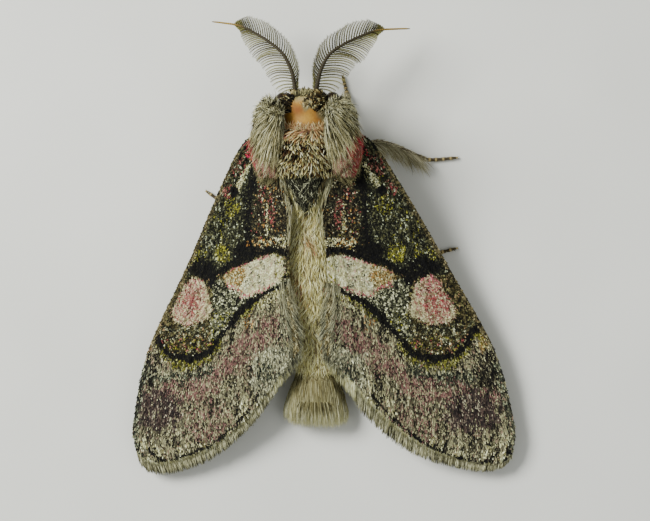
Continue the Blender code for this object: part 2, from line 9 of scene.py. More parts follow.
import bpy
import numpy as np
from mathutils import Matrix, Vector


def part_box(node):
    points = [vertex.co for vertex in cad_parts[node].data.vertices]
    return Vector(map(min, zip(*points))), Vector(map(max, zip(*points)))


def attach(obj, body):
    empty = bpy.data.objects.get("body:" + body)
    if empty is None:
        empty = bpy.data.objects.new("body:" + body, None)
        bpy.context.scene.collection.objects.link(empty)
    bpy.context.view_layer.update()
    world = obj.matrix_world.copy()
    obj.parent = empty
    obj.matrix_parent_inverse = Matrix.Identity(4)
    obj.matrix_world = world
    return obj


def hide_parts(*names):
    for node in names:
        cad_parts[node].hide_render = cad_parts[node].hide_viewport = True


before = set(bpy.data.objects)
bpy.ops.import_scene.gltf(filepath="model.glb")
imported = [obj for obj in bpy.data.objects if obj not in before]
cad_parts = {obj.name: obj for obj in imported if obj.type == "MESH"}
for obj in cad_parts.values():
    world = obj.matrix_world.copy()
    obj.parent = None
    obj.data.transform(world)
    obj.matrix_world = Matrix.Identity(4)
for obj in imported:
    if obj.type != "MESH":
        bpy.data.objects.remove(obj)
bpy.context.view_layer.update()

MM = 0.001
STAND = np.array((0.18, 0.66, 0.0))   # the place in the moth's own frame, in mm, that is the origin

# Camera, in the moth's own frame
CAMERA_TARGET = (0.523, 0.0, 1.5)
CAMERA_DISTANCE = 120.0
CAMERA_LEAN = math.radians(11)        # towards the moth's right
CAMERA_LENS = 127.8

# Body skin along y: y, top, underside, half width. It lies under the coat from the face to the tail
BODY = ((8.6, 4.0, 3.35, 0.3), (8.48, 4.32, 2.98, 0.7), (8.15, 4.52, 2.8, 1.0), (7.8, 4.48, 2.85, 1.18),
        (7.35, 4.42, 2.75, 1.28), (6.95, 4.5, 2.4, 1.38), (6.3, 4.72, 1.85, 1.52), (5.5, 4.87, 1.5, 1.62),
        (4.6, 4.82, 1.4, 1.5), (3.8, 4.55, 1.55, 1.12), (3.15, 4.2, 1.75, 0.85), (2.7, 3.75, 1.6, 0.85),
        (2.2, 3.3, 1.1, 1.0), (0.4, 3.27, 0.8, 1.33), (-1.8, 2.97, 0.6, 1.38), (-4.0, 2.42, 0.5, 1.28),
        (-5.7, 2.02, 0.5, 1.03), (-6.3, 1.95, 0.25, 1.2), (-7.0, 1.7, 0.1, 1.3), (-7.45, 1.2, 0.25, 0.9))

# Tail brush: y and half width of its end, and half width and height of the body that it grows from
TAIL_END = -8.56
TAIL_HALF = 1.66
TAIL_ROOT_HALF = 1.3
TAIL_ROOT_HEIGHT = 1.95

# Shoulder tuft over each wing root: y, x, z, half width, half height
TEGULA = ((8.22, 1.84, 4.5, 0.12, 0.16), (8.0, 1.84, 4.55, 0.38, 0.34), (7.4, 1.85, 4.62, 0.68, 0.56),
          (6.6, 2.07, 4.56, 0.76, 0.58), (5.8, 2.26, 4.38, 0.6, 0.5), (5.0, 2.26, 4.2, 0.38, 0.36),
          (4.4, 2.15, 4.06, 0.2, 0.22))
TEGULA_SHIFT = {1: 0.04, -1: -0.12}      # the left tuft sits a little nearer the middle
TEGULA_TILT = math.radians(24)
TEGULA_HEM = ((1.3, 3.1), (4.0, 6.05))   # x, and y where its hairs end: far back inside, early outside

# Wings: outlines from above, x away from the body. Veins as shares of the chord, and where each starts
WING_HINGE = (2.6, 5.2)
WING_SWING = math.radians(0.75)
RIDGE_HEIGHT = 4.12
RIDGE_START = 4.4
EAVES_Y = (-12.0, -8.0, -4.7, -2.0, 0.4, 2.8, 5.3, 6.5)
EAVES = (0.85, 0.95, 1.2, 1.55, 1.9, 2.6, 3.4, 3.7)
FOREWING = {
    "front": ((2.1, 6.35), (3.25, 6.15), (4.7, 3.9), (7.0, -0.45), (9.2, -4.7), (10.12, -8.4), (10.08, -9.7),
              (9.72, -10.68)),
    "back": ((0.8, 2.6), (1.0, -1.1), (0.66, -3.9), (0.66, -5.3)),
    "base": ((2.1, 6.35), (1.9, 5.0), (1.3, 4.0), (0.9, 3.3), (0.8, 2.6)),
    "edge": ((9.72, -10.68), (9.2, -11.1), (8.0, -11.18), (5.6, -10.4), (3.4, -8.7), (1.8, -6.75),
             (0.66, -5.3)),
    "veins": ((0.05, 0.0), (0.13, 0.0), (0.25, 0.45), (0.36, 0.5), (0.48, 0.52), (0.59, 0.5),
              (0.70, 0.42), (0.81, 0.3), (0.93, 0.0)),
    "drop": 0.06,
}
HINDWING = {
    "front": ((2.35, 3.6), (4.4, 0.8), (6.1, -2.3), (6.4, -4.2)),
    "back": ((2.2, 2.6), (2.35, -1.1), (2.4, -4.8)),
    "base": ((2.35, 3.6), (2.15, 3.1), (2.2, 2.6)),
    "edge": ((6.4, -4.2), (5.3, -5.5), (3.8, -5.7), (2.4, -4.8)),
    "veins": ((0.12, 0.0), (0.34, 0.35), (0.52, 0.4), (0.7, 0.3), (0.88, 0.0)),
    "drop": 1.0,
}
MEMBRANE = 0.09                 # thickness of a wing with its scales
VEIN_RISE = 0.07
VEIN_WIDTH = 0.012              # as a share of the chord
FRINGE = 0.8                    # width of the fringe along the outer margin
# Shares of that width at places from the wing's tip to the inner corner
FRINGE_AT = (0.0, 0.1, 0.3, 0.5, 0.75, 0.95, 1.0)
FRINGE_SHARE = {1: (0.7, 0.8, 1.0, 1.35, 1.5, 1.3, 1.1), -1: (1.2, 1.2, 1.15, 1.0, 0.88, 0.9, 1.0)}
SCALES = 49500                  # on the upper face of each forewing
WING_ROOT = ((1.95, 5.3, 3.7), (0.8, 1.25, 0.5))   # muscle pad between thorax and wing: middle, half sizes

# Feelers. For each rank of branches: lengths by share of the shaft, first and last angle to it, and its tilt
FEELER = ((0.5, 8.5, 4.1), (0.6, 9.0, 3.92), (0.78, 9.75, 3.88), (1.22, 10.54, 3.88), (1.95, 11.12, 3.72),
          (2.74, 11.56, 3.5), (3.57, 11.92, 3.3), (4.56, 12.06, 3.0), (5.2, 12.12, 2.8))
FEELER_SWING = math.radians(3.5)
SHAFT_SIDES = 10                # corners round a feeler's shaft
SHAFT_RINGS = 60                # low ridges along it
BRANCH_WIDTH = 0.075
BRISTLE = (0.1, 0.018)          # length and width
BRANCHES = 37                   # in each rank
BRANCHED = (0.04, 0.78)         # the share of the shaft that carries them
RANKS = {
    1: ((0.04, 0.9), (0.11, 1.4), (0.22, 1.55), (0.33, 1.6), (0.42, 1.48), (0.52, 1.2), (0.61, 0.85),
        (0.69, 0.45), (0.78, 0.12)),
    -1: ((0.04, 0.25), (0.12, 0.55), (0.22, 0.8), (0.34, 1.0), (0.45, 1.12), (0.55, 1.05), (0.63, 0.88),
         (0.7, 0.55), (0.78, 0.16)),
}
RANK_ANGLES = {
    1: ((0.05, 75, 125), (0.33, 48, 98), (0.62, 32, 62)),     # share, first angle, last angle
    -1: ((0.1, 60, 8), (0.33, 60, 12), (0.52, 58, 25), (0.65, 45, 35)),
}
RANK_TILT = {1: -18, -1: 22}

# Legs: route from the thorax to the foot, for the right and the left side
FOOT = 0.16
LEGS = {
    "foreleg": {
        1: ((0.8, 6.2, 1.5), (1.2, 6.8, 1.0), (1.6, 7.6, 0.95), (1.55, 8.35, 0.4), (1.45, 8.7, FOOT),
            (1.2, 9.7, FOOT)),
        -1: ((0.8, 6.2, 1.5), (1.25, 6.6, 1.0), (1.65, 7.15, 0.95), (1.6, 7.6, 0.4), (1.55, 7.9, FOOT),
             (1.35, 8.4, FOOT)),
    },
    "midleg": {
        1: ((0.95, 4.9, 1.5), (1.9, 5.4, 1.2), (3.3, 6.1, 1.5), (5.3, 5.4, 0.6), (5.9, 5.25, FOOT),
            (7.3, 5.35, FOOT)),
        -1: ((0.95, 4.9, 1.5), (1.9, 5.1, 1.2), (3.2, 4.6, 1.4), (4.5, 3.1, 0.5), (5.1, 3.0, FOOT),
             (6.2, 3.7, FOOT)),
    },
    "hindleg": {
        1: ((0.85, 3.5, 1.8), (1.9, 2.9, 1.2), (3.2, 2.2, 1.15), (5.2, 0.7, 0.45), (5.9, 0.35, FOOT),
            (7.3, 0.65, FOOT)),
        -1: ((0.85, 3.5, 1.8), (1.9, 2.8, 1.2), (3.0, 1.9, 1.15), (4.4, 0.4, 0.45), (5.0, 0.1, FOOT),
             (6.0, 0.1, FOOT)),
    },
}
SHIN_FUR = {"foreleg": (0.5, (-0.2, 0.2, -0.4)), "midleg": (1.3, (0.1, -1.5, -0.2)),
            "hindleg": (0.75, (0.4, -0.9, -0.1))}   # length in mm, and the way it hangs

# Seeds of the random numbers: the moth's right side adds one to them, and its left side takes one away
SEEDS = {"head": 21, "thorax": 22, "abdomen": 23, "tail": 24, "shoulder": 30, "scales": 40, "feeler": 50,
         "scale_tint": 60, "membrane_tint": 70, "fringe": 80, "palp": 90, "foreleg": 100, "midleg": 110,
         "hindleg": 120}
LEG_SIDES = 16                  # corners round a leg or a palp
LEG_GAP = 0.005                 # the least height of a leg's skin over the floor
CLAW = (0.16, 0.06)             # length and width
FOOT_START = 0.74               # share of a leg's length at which its foot begins
FOOT_JOINTS = 5
ROOT_DEPTH = 0.04               # how deep a hair's root sits in the skin
FACET = 0.05                    # width of a facet of the eye, in mm
MOTTLES = 90.0                  # spots of the floor's card, to the metre
FLOOR_HALF = 0.5                # half the width of the floor, in metres

# Unwraps of the body skin and of a shoulder tuft run back from a y over a length, in mm
SKIN_UNWRAP = (8.9, 16.5)
TEGULA_UNWRAP = (8.5, 4.2)
PATCH = 0.003                   # size of a hair's or a scale's patch on the unwrap
FLOOR_GAP = 0.006               # the least height of a hair over the floor

# The rubbed place without hair, from the back of the head to the front of the thorax
BARE_NAPE = ((-1.3, 7.0), (-1.25, 7.5), (-0.9, 7.86), (-0.75, 8.13), (-0.8, 8.35), (-0.3, 8.6), (0.3, 8.6),
             (0.2, 8.3), (-0.02, 8.1), (-0.1, 7.8), (0.1, 7.56), (0.4, 7.74), (0.85, 7.9), (0.66, 7.45),
             (0.85, 7.05), (0.3, 6.88), (-0.15, 6.78), (-0.54, 6.82), (-0.95, 6.84))

# Forewing markings in the mean wing's own plan, in mm
BASAL_STREAK = ((2.6, 5.0), (2.72, 4.4), (2.86, 3.8), (3.02, 3.0), (3.1, 1.9), (3.12, 0.7))
CREAM_STREAK = ((2.95, 4.95), (3.7, 3.75))
ANTEMEDIAL = ((0.9, 0.3), (1.4, 0.57), (1.85, 0.6), (2.4, 0.44), (3.05, 0.24), (3.6, 0.12), (4.15, -0.16),
              (4.6, -0.47), (5.2, -0.75))
COSTAL_BLACK = ((5.75, 0.3), (5.2, 0.0), (4.85, -0.75), (5.2, -1.35), (5.65, -0.95), (6.9, -0.45),
                (7.0, -0.15))
CREAM_PATCH = ((1.05, 0.16), (1.7, 0.37), (2.4, 0.23), (3.05, 0.03), (3.6, -0.17), (4.05, -0.37),
               (4.6, -0.73), (4.3, -1.25), (3.65, -1.51), (3.5, -1.88), (2.85, -1.73), (2.3, -1.57),
               (1.75, -1.32), (1.2, -1.02), (1.05, -0.5))
ROUND_SPOT = ((6.25, -0.7), (5.9, -0.8), (5.5, -1.2), (5.35, -1.9), (5.2, -2.45), (5.35, -2.9),
              (5.95, -3.15), (6.65, -3.3), (7.3, -3.15), (7.55, -2.85), (7.4, -2.4), (7.0, -1.7),
              (6.65, -1.1))
SPOT_CENTRE = (6.55, -1.9)
POSTMEDIAL = ((0.9, -1.2), (1.42, -1.38), (1.85, -1.45), (2.32, -1.75), (2.76, -1.95), (3.17, -2.25),
              (3.64, -2.62), (4.0, -3.02), (4.28, -3.5), (4.7, -3.8), (5.0, -4.25), (5.34, -4.68),
              (5.86, -4.95), (6.4, -5.02), (6.94, -4.99), (7.5, -4.85), (8.0, -4.5), (8.2, -4.1),
              (8.35, -3.75), (8.6, -3.5))
PINK_BAND = ((1.9, -3.4), (3.2, -4.35), (4.5, -5.5), (5.7, -6.6), (7.6, -6.9), (9.4, -6.8))
GREY_BAND = ((9.4, -5.9), (7.6, -6.15), (6.2, -6.1), (5.2, -5.6))


def linear(code):
    """Linear colour of an sRGB hex code.

    A channel c up to 0.04045 becomes c / 12.92, and above it ((c + 0.055) / 1.055) to the power 2.4.
    """
    channel = np.array([int(code[k:k + 2], 16) for k in (1, 3, 5)]) / 255
    return np.where(channel <= 0.04045, channel / 12.92, ((channel + 0.055) / 1.055) ** 2.4)


GREENER = (1.0, 1.07, 1.03)     # the greenish cast of the light, painted into the moth's colours


def palette(*entries):
    """Linear colours, a little greened, and the running sum of their shares, from hex codes with shares."""
    share = np.array([entry[1] for entry in entries], float)
    return np.array([linear(entry[0]) for entry in entries]) * GREENER, np.cumsum(share / share.sum())


# Colours of wing scales and hairs, each with its share in a mixture
DARK_GROUND = palette(("#0b0b07", 5), ("#1a1a11", 4), ("#303020", 2.8), ("#545236", 1.6), ("#9c9e82", 0.65))
INNER_GROUND = palette(("#0b0906", 4.4), ("#1e1a11", 3.6), ("#383120", 2.4), ("#5e563c", 1.0),
                       ("#b4ab8b", 0.36))
GREY_GROUND = palette(("#171711", 2.4), ("#323223", 3), ("#57563f", 2.6), ("#86856a", 0.9))
OLIVE_YELLOW = palette(("#6a661f", 3), ("#858028", 2.2), ("#48441a", 2.6), ("#b8b272", 0.8),
                       ("#1d1c0e", 2.2))
OLIVE_DARK = palette(("#545119", 3), ("#6f6b28", 2), ("#25240f", 3.2), ("#9c985a", 1), ("#0f0f08", 2))
ORANGE_FLECKS = palette(("#946834", 2), ("#774e20", 1), ("#b38a4c", 1))
COSTAL_EDGE = palette(("#5c5236", 3), ("#3c3520", 2.6), ("#7c7050", 1.4), ("#1c180d", 2.2))
BLACK = palette(("#050503", 6), ("#0e0d09", 3), ("#1f1d13", 1))
PATCH_CREAM = palette(("#b5af88", 4), ("#a19a74", 3), ("#cbc7a6", 1.8), ("#867e5a", 1.4), ("#a08272", 0.8))
CREAM = palette(("#bcb68c", 4), ("#a29b6e", 3), ("#d6d2ae", 1.8), ("#7f764a", 1.7), ("#5a5432", 0.9))
TAN = palette(("#7c6238", 3), ("#5c4a26", 2.6), ("#a39060", 2), ("#3a2f16", 1.8), ("#beb488", 1))
PINK_EDGE = palette(("#9c4a54", 3), ("#b07472", 2), ("#7c343c", 1))
PINK_FLECKS = palette(("#84403e", 2), ("#9a6456", 1), ("#552626", 1.6))
SPECKLE_SCALES = palette(("#0e0e09", 4), ("#2c2c1f", 3), ("#55553f", 2.2), ("#8a876a", 1.7),
                         ("#c6c2a0", 1.1))
SPOT_CREAM = palette(("#aaa17a", 4), ("#928864", 3), ("#c4bd98", 1.5), ("#6c6244", 1.6))
SPOT_PINK = palette(("#8c5c52", 3), ("#784842", 2.4), ("#a88c78", 2.8), ("#4a3228", 1.8))
SPOT_RED = palette(("#802c30", 3), ("#8c4a48", 2), ("#502020", 1.2))
UNDER_SPOT = palette(("#28230f", 3), ("#0f0e09", 3.6), ("#4a4229", 2.4), ("#716b43", 1.0), ("#8f7250", 0.5))
DUSKY_PINK = palette(("#65443f", 3), ("#7a5a52", 2.2), ("#918868", 1.6), ("#3f2e27", 2.6), ("#1d1914", 1.6))
GREY_SCALES = palette(("#12130e", 4), ("#292a21", 3), ("#4b4c3b", 1.6), ("#888a70", 0.7))
SMOKY = palette(("#2c2320", 4), ("#1a1514", 3.4), ("#453630", 2), ("#6c5f50", 1.1), ("#9c927a", 0.4))
OUTER = palette(("#a39d78", 1.8), ("#7c7658", 3.4), ("#565140", 3.4), ("#322d21", 2.6), ("#15130d", 1.6),
                ("#7a6452", 1))
OUTER_DARK = palette(("#0a0a07", 4), ("#221f16", 3), ("#524c38", 1.6), ("#969074", 0.7))
TORNUS = palette(("#949074", 3), ("#726e56", 3), ("#4a483a", 2.4), ("#24231c", 2), ("#beba9a", 1))
STRIPED_MARGIN = palette(("#5f5232", 3), ("#332b18", 3), ("#8c7f58", 2), ("#b9ad86", 1))
FRINGE_PALE = palette(("#989274", 3), ("#7a7458", 3), ("#b8b292", 1.8), ("#54503a", 1.6))
FRINGE_DARK = palette(("#3c3826", 2), ("#5c583f", 2), ("#211e15", 2))
PLAIN_UNDER = palette(("#7c7152", 3), ("#8f8464", 3), ("#645a40", 2))
CREAM_HAIR = palette(("#c2ba92", 4), ("#a89f78", 4), ("#8a8058", 2), ("#dbd5b4", 1.5))
SHOULDER_HAIR = palette(("#cbbf92", 4), ("#ab9d6e", 3.4), ("#746a44", 2.8), ("#e6ddb8", 2.0),
                        ("#28220f", 2.4))
SHOULDER_FRONT = palette(("#15130a", 2.8), ("#453f28", 2.6), ("#cfc69c", 3.4), ("#9a9068", 2.2),
                         ("#e8e0c0", 1.2))
CRIMSON_HAIR = palette(("#c60c3a", 3), ("#d83a62", 2), ("#8c0e28", 1.6))
ROSE_HAIR = palette(("#b84c5a", 3), ("#c2807a", 2.4), ("#943440", 1.8), ("#b5a682", 1.6))
DISC_TIP = palette(("#dccf98", 4), ("#b4a264", 3), ("#f0e8c4", 1.8), ("#6a4c26", 1.6), ("#1c150c", 2.2))
DISC_ROOT = palette(("#0c0a06", 4), ("#251a0e", 3), ("#4d3218", 2))
DARK_SIDE = palette(("#080805", 4), ("#17170f", 3), ("#37351f", 2), ("#8c875c", 0.6))
ROSY_TAN = palette(("#ab8458", 3), ("#c2a878", 2.4), ("#85603a", 2), ("#d6c69c", 1.2), ("#a86a58", 1))
SLATE_HAIR = palette(("#14130d", 4), ("#2d2b20", 3.4), ("#504e3b", 2), ("#8f8c70", 1.1), ("#c0bc9c", 0.6))
TAN_HAIR = palette(("#d2c78c", 4), ("#bdb072", 3.4), ("#e4dbae", 3), ("#998b56", 1.6), ("#efe8c6", 1))
TAIL_HAIR = palette(("#ab9f70", 4), ("#897d50", 3.4), ("#c8bd8e", 2), ("#5e5434", 2))
TAIL_TIP = palette(("#dcd3a6", 3), ("#c0b686", 3), ("#efe9c8", 2), ("#8a8054", 1))
FACE_HAIR = palette(("#b09a6c", 3), ("#c8b68a", 3), ("#8a7448", 2), ("#d8cca4", 1))
BROW_HAIR = palette(("#0f0c07", 4), ("#2a2214", 3), ("#5a4726", 2), ("#b5a878", 1.2))
GREY_FUR = palette(("#6d6446", 3), ("#8d835c", 3), ("#453d28", 2), ("#aea274", 1.4))
LEG_FUR = palette(("#958b6c", 3), ("#b3a88a", 3), ("#6c6349", 2), ("#cec4a4", 1.4))
BRANCH_TINT = palette(("#6f6739", 3), ("#8a8350", 3), ("#4b4424", 1.4))

AMBER = linear("#94702a")
AMBER_DEEP = linear("#74461a")
CROWN = linear("#80744a")
UNDER_FUR = linear("#6d6340")
GREY_SKIN = linear("#544c34")
SLATE_SKIN = linear("#2b2c22")
DISC_SKIN = linear("#2e2213")
SHAFT_BROWN = linear("#2a2516")
SHAFT_TIP = linear("#7c6528")
LEG_BROWN = linear("#3a301c")
LEG_RING = linear("#9c8c5c")
CLAW_BROWN = linear("#1c140c")


def pick(mix, draw):
    """The colours that uniform numbers pick out of a mixture."""
    colours, steps = mix
    return colours[np.minimum(np.searchsorted(steps, draw), len(steps) - 1)]


def choose(mask, first, second):
    """The first colours where the mask holds, and the second elsewhere."""
    return np.where(mask[..., None], first, second)


def blend(first, second, share):
    """From the first colour to the second by each place's share from 0 to 1."""
    return first * (1 - share[:, None]) + second * share[:, None]


def dice(part, side=0):
    """Random numbers of one part, the same in each run."""
    return np.random.default_rng(SEEDS[part] + side)


def joined(*values):
    """The values side by side along a new last axis."""
    return np.stack(values, axis=-1)


def ramp(value, width=1.0):
    """From 0 to 1 while the value goes from 0 to the width."""
    return np.clip(value / width, 0, 1)


def unit(vector):
    """The vector over its own length."""
    return vector / np.maximum(np.linalg.norm(vector, axis=-1, keepdims=True), 1e-12)


def smooth_line(points, count, dense=40):
    """Evenly spaced points on the Catmull-Rom curve through the given ones.

    From b to c it is half of 2b + (c - a)t + (2a - 5b + 4c - d)t^2 + (3b - a - 3c + d)t^3.
    """
    given = np.asarray(points, float)
    ends = np.vstack([2 * given[0] - given[1], given, 2 * given[-1] - given[-2]])
    a, b, c, d = [ends[k:len(ends) - 3 + k, None] for k in range(4)]
    t = np.linspace(0, 1, dense, endpoint=False)[None, :, None]
    bend = (2 * a - 5 * b + 4 * c - d) * t**2 + (3 * b - a - 3 * c + d) * t**3
    line = np.vstack([(0.5 * (2 * b + (c - a) * t + bend)).reshape(-1, given.shape[1]), given[-1:]])
    along = np.concatenate([[0], np.cumsum(np.linalg.norm(np.diff(line, axis=0), axis=1))])
    wanted = np.linspace(0, along[-1], count)
    return np.stack([np.interp(wanted, along, line[:, k]) for k in range(line.shape[1])], axis=1)


def to_line(x, y, points):
    """Distance of each place to a polyline: the least over its runs of the distance to the nearest point."""
    corner = np.asarray(points, float)
    a = corner[:-1]
    run = corner[1:] - a
    away = joined(x, y)[..., None, :] - a
    t = ramp((away * run).sum(-1), (run**2).sum(-1))
    return np.linalg.norm(away - run * t[..., None], axis=-1).min(axis=-1)


def from_outline(x, y, points):
    """Distance to a closed outline, below zero inside it, which an odd count of crossings tells."""
    ring = np.vstack([points, points[:1]])
    a = ring[:-1]
    b = ring[1:]
    spans = (a[:, 1] > y[..., None]) != (b[:, 1] > y[..., None])
    rise = np.where(b[:, 1] == a[:, 1], 1e-9, b[:, 1] - a[:, 1])
    cross = x[..., None] < (b[:, 0] - a[:, 0]) * (y[..., None] - a[:, 1]) / rise + a[:, 0]
    inside = (spans & cross).sum(axis=-1) % 2 == 1
    return np.where(inside, -1, 1) * to_line(x, y, ring)


def above_line(x, y, points):
    """How far each place lies above a line that runs left to right, measured along y."""
    return y - np.interp(x, [point[0] for point in points], [point[1] for point in points])


def waves(x, y, seed, size):
    """Smooth random field of about -1 to 1: a fifth of the sum of twelve sine waves of about one length."""
    draw = np.random.default_rng(seed)
    turn = draw.uniform(0, math.tau, 12)
    pace = math.tau / (size * draw.uniform(0.7, 1.6, 12))
    phase = draw.uniform(0, math.tau, 12)
    angle = pace * (x[..., None] * np.cos(turn) + y[..., None] * np.sin(turn)) + phase
    return np.sin(angle).sum(axis=-1) / 5


def add_node(tree, kind, inputs=(), **options):
    """Adds a shader node. Inputs are pairs of socket and value, and a value that is a socket is linked."""
    node = tree.nodes.new(kind)
    for key, value in options.items():
        setattr(node, key, value)
    for key, value in dict(inputs).items():
        if isinstance(value, bpy.types.NodeSocket):
            tree.links.new(value, node.inputs[key])
        else:
            node.inputs[key].default_value = value
    return node


def new_finish(name, roughness, specular=0.5):
    """An empty finish with its Principled shader, whose plain numbers are set on its own sockets."""
    finish = bpy.data.materials.new(name)
    finish.use_nodes = True
    shader = finish.node_tree.nodes["Principled BSDF"]
    shader.inputs["Roughness"].default_value = roughness
    shader.inputs["Specular IOR Level"].default_value = specular
    return finish, finish.node_tree, shader


def painted_finish(name, roughness, specular, grain_mm, contrast, bump):
    """A finish whose colour is the piece's own tint, lightened and darkened by a fine grain, with a bump.

    Real ridges and pits are a few thousandths of a millimetre apart, too fine to show, so it is coarser.
    """
    finish, tree, shader = new_finish(name, roughness, specular)
    tint = add_node(tree, "ShaderNodeAttribute", attribute_name="tint")
    place = add_node(tree, "ShaderNodeTexCoord")
    grain = add_node(tree, "ShaderNodeTexNoise", [
        ("Vector", place.outputs["Object"]), ("Scale", 1 / (grain_mm * MM)), ("Detail", 2.0)])
    shade = add_node(tree, "ShaderNodeMapRange", [
        ("Value", grain.outputs["Fac"]), ("From Min", 0.3), ("From Max", 0.7),
        ("To Min", 1 - contrast), ("To Max", 1 + contrast)])
    colour = add_node(tree, "ShaderNodeVectorMath", [
        (0, tint.outputs["Color"]), (1, shade.outputs["Result"])], operation="MULTIPLY")
    tree.links.new(colour.outputs["Vector"], shader.inputs["Base Color"])
    relief = add_node(tree, "ShaderNodeBump", [
        ("Height", grain.outputs["Fac"]), ("Strength", bump), ("Distance", grain_mm * MM / 4)])
    tree.links.new(relief.outputs["Normal"], shader.inputs["Normal"])
    return finish


def eye_finish():
    """Compound eye: smooth dark cornea over six-sided facets, seen as a fine net of glints.

    Real facets are about 0.02 mm wide, too fine to show, and are drawn wider.
    """
    finish, tree, shader = new_finish("facetted_cornea", 0.25, specular=0.16)
    place = add_node(tree, "ShaderNodeTexCoord")
    facets = add_node(tree, "ShaderNodeTexVoronoi", [
        ("Vector", place.outputs["Object"]), ("Scale", 1 / (FACET * MM))], feature="DISTANCE_TO_EDGE")
    # The facets' edges are tinted lighter than their middles: a painted net of glints.
    colour = add_node(tree, "ShaderNodeValToRGB", [("Fac", facets.outputs["Distance"])])
    colour.color_ramp.elements[0].color = (*linear("#2a2014"), 1)
    colour.color_ramp.elements[1].color = (*linear("#0a0805"), 1)
    colour.color_ramp.elements[1].position = 0.3
    tree.links.new(colour.outputs["Color"], shader.inputs["Base Color"])
    relief = add_node(tree, "ShaderNodeBump", [
        ("Height", facets.outputs["Distance"]), ("Strength", 0.3), ("Distance", 0.01 * MM)])
    tree.links.new(relief.outputs["Normal"], shader.inputs["Normal"])
    return finish


def floor_finish():
    """Pale matt card, with a very soft mottle so that it doesn't look like a flat colour."""
    finish, tree, shader = new_finish("pale_card", 0.9, specular=0.2)
    place = add_node(tree, "ShaderNodeTexCoord")
    mottle = add_node(tree, "ShaderNodeTexNoise", [("Vector", place.outputs["Object"]), ("Scale", MOTTLES)])
    colour = add_node(tree, "ShaderNodeValToRGB", [("Fac", mottle.outputs["Fac"])])
    colour.color_ramp.elements[0].color = (*linear("#c4c5bc"), 1)
    colour.color_ramp.elements[1].color = (*linear("#d4d5cc"), 1)
    tree.links.new(colour.outputs["Color"], shader.inputs["Base Color"])
    return finish


def piece(name, points, faces, finish, slot, tint=None, bake=None, smooth=True):
    """A mesh piece from points in mm and a list of face arrays. It rides on the one body of the model."""
    mesh = bpy.data.meshes.new(name)
    corners = np.concatenate([face.ravel() for face in faces]).astype(np.int32)
    sizes = np.concatenate([np.full(len(face), face.shape[1]) for face in faces])
    starts = np.concatenate([[0], np.cumsum(sizes)[:-1]]).astype(np.int32)
    mesh.vertices.add(len(points))
    mesh.vertices.foreach_set("co", ((points - STAND) * MM).ravel().astype(np.float32))
    mesh.loops.add(len(corners))
    mesh.loops.foreach_set("vertex_index", corners)
    mesh.polygons.add(len(sizes))
    mesh.polygons.foreach_set("loop_start", starts)
    mesh.polygons.foreach_set("use_smooth", np.full(len(sizes), smooth))
    mesh.update(calc_edges=True)
    if tint is not None:
        paint = mesh.attributes.new("tint", "FLOAT_COLOR", "POINT")
        tint = np.broadcast_to(tint, points.shape)
        paint.data.foreach_set("color", np.column_stack([tint, np.ones(len(tint))]).ravel())
    if bake is not None:
        layer = mesh.uv_layers.new(name="OFBake")
        layer.data.foreach_set("uv", bake[corners].ravel().astype(np.float32))
    mesh.materials.append(finish)
    obj = bpy.data.objects.new(name, mesh)
    bpy.context.scene.collection.objects.link(obj)
    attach(obj, "root")
    return obj


def bare_skin(name, shape, slot, tint):
    """A piece of bare skin from a shape's points and faces."""
    return piece(name, *shape, FINISH["skin"], slot, tint)


def grid_faces(rows, columns, wrap=False, start=0):
    """Quads of a grid of points that is stored row by row. With wrap, the last column meets the first."""
    i = np.arange(rows - 1)[:, None]
    j = np.arange(columns if wrap else columns - 1)[None, :]
    k = (j + 1) % columns
    quads = [i * columns + j, i * columns + k, (i + 1) * columns + k, (i + 1) * columns + j]
    return np.stack(quads, axis=-1).reshape(-1, 4) + start


def closed_tube(rings):
    """Points and faces of a tube from rings of points, closed all round and at both ends."""
    rows, sides = rings.shape[:2]
    points = np.vstack([rings.reshape(-1, 3), rings[[0, -1]].mean(axis=1)])
    j = np.arange(sides)
    k = (j + 1) % sides
    last = (rows - 1) * sides
    caps = np.vstack([joined(k, j, np.full(sides, rows * sides)),
                      joined(last + j, last + k, np.full(sides, rows * sides + 1))])
    return points, [grid_faces(rows, sides, wrap=True), caps]


def limb(path, radii, sides):
    """A limb: round rings of the given radii, square to the path, closed at both ends."""
    run = unit(np.gradient(path, axis=0))
    side = unit(np.cross(run, (0.0, 0.0, 1.0)))
    top = np.cross(side, run)
    angle = np.linspace(0, math.tau, sides, endpoint=False)
    around = np.cos(angle)[:, None] * side[:, None] - np.sin(angle)[:, None] * top[:, None]
    return closed_tube(path[:, None] + around * np.asarray(radii)[:, None, None])


def limb_tint(tint, sides):
    """Tints of a limb's points from those of its rings."""
    return np.vstack([np.repeat(tint, sides, axis=0), tint[:1], tint[-1:]])


def egg(centre, half, rows=40, sides=48):
    """An egg: rings along y whose radius is the cosine of the angle from its middle."""
    up = np.linspace(-0.98, 0.98, rows) * math.pi / 2
    turn = np.linspace(0, math.tau, sides, endpoint=False)
    x = np.outer(np.cos(up), np.cos(turn))
    z = -np.outer(np.cos(up), np.sin(turn))
    y = np.broadcast_to(np.sin(up)[:, None], x.shape)
    return closed_tube(np.asarray(centre) + joined(x, y, z) * half)


def way(draw, count, x, y, z, spread=0.15):
    """Directions about one way of lying, each turned a little by chance."""
    base = np.stack(np.broadcast_arrays(np.asarray(x, float), y, z, np.zeros(count))[:3], axis=-1)
    return base + draw.normal(0, spread, (count, 3))


def some(arrays, keep):
    """The kept rows of each array, also of arrays in tuples."""
    return [some(array, keep) if isinstance(array, tuple) else array[keep] for array in arrays]


# Widths of a blade from its root to its tip, as shares of the full width
HAIR = (1.0, 0.9, 0.6, 0.08)
SHORT = (1.0, 0.8, 0.1)
LONG = (1.0, 0.95, 0.85, 0.6, 0.1)
SPATULA = (0.4, 0.9, 1.0, 0.6)


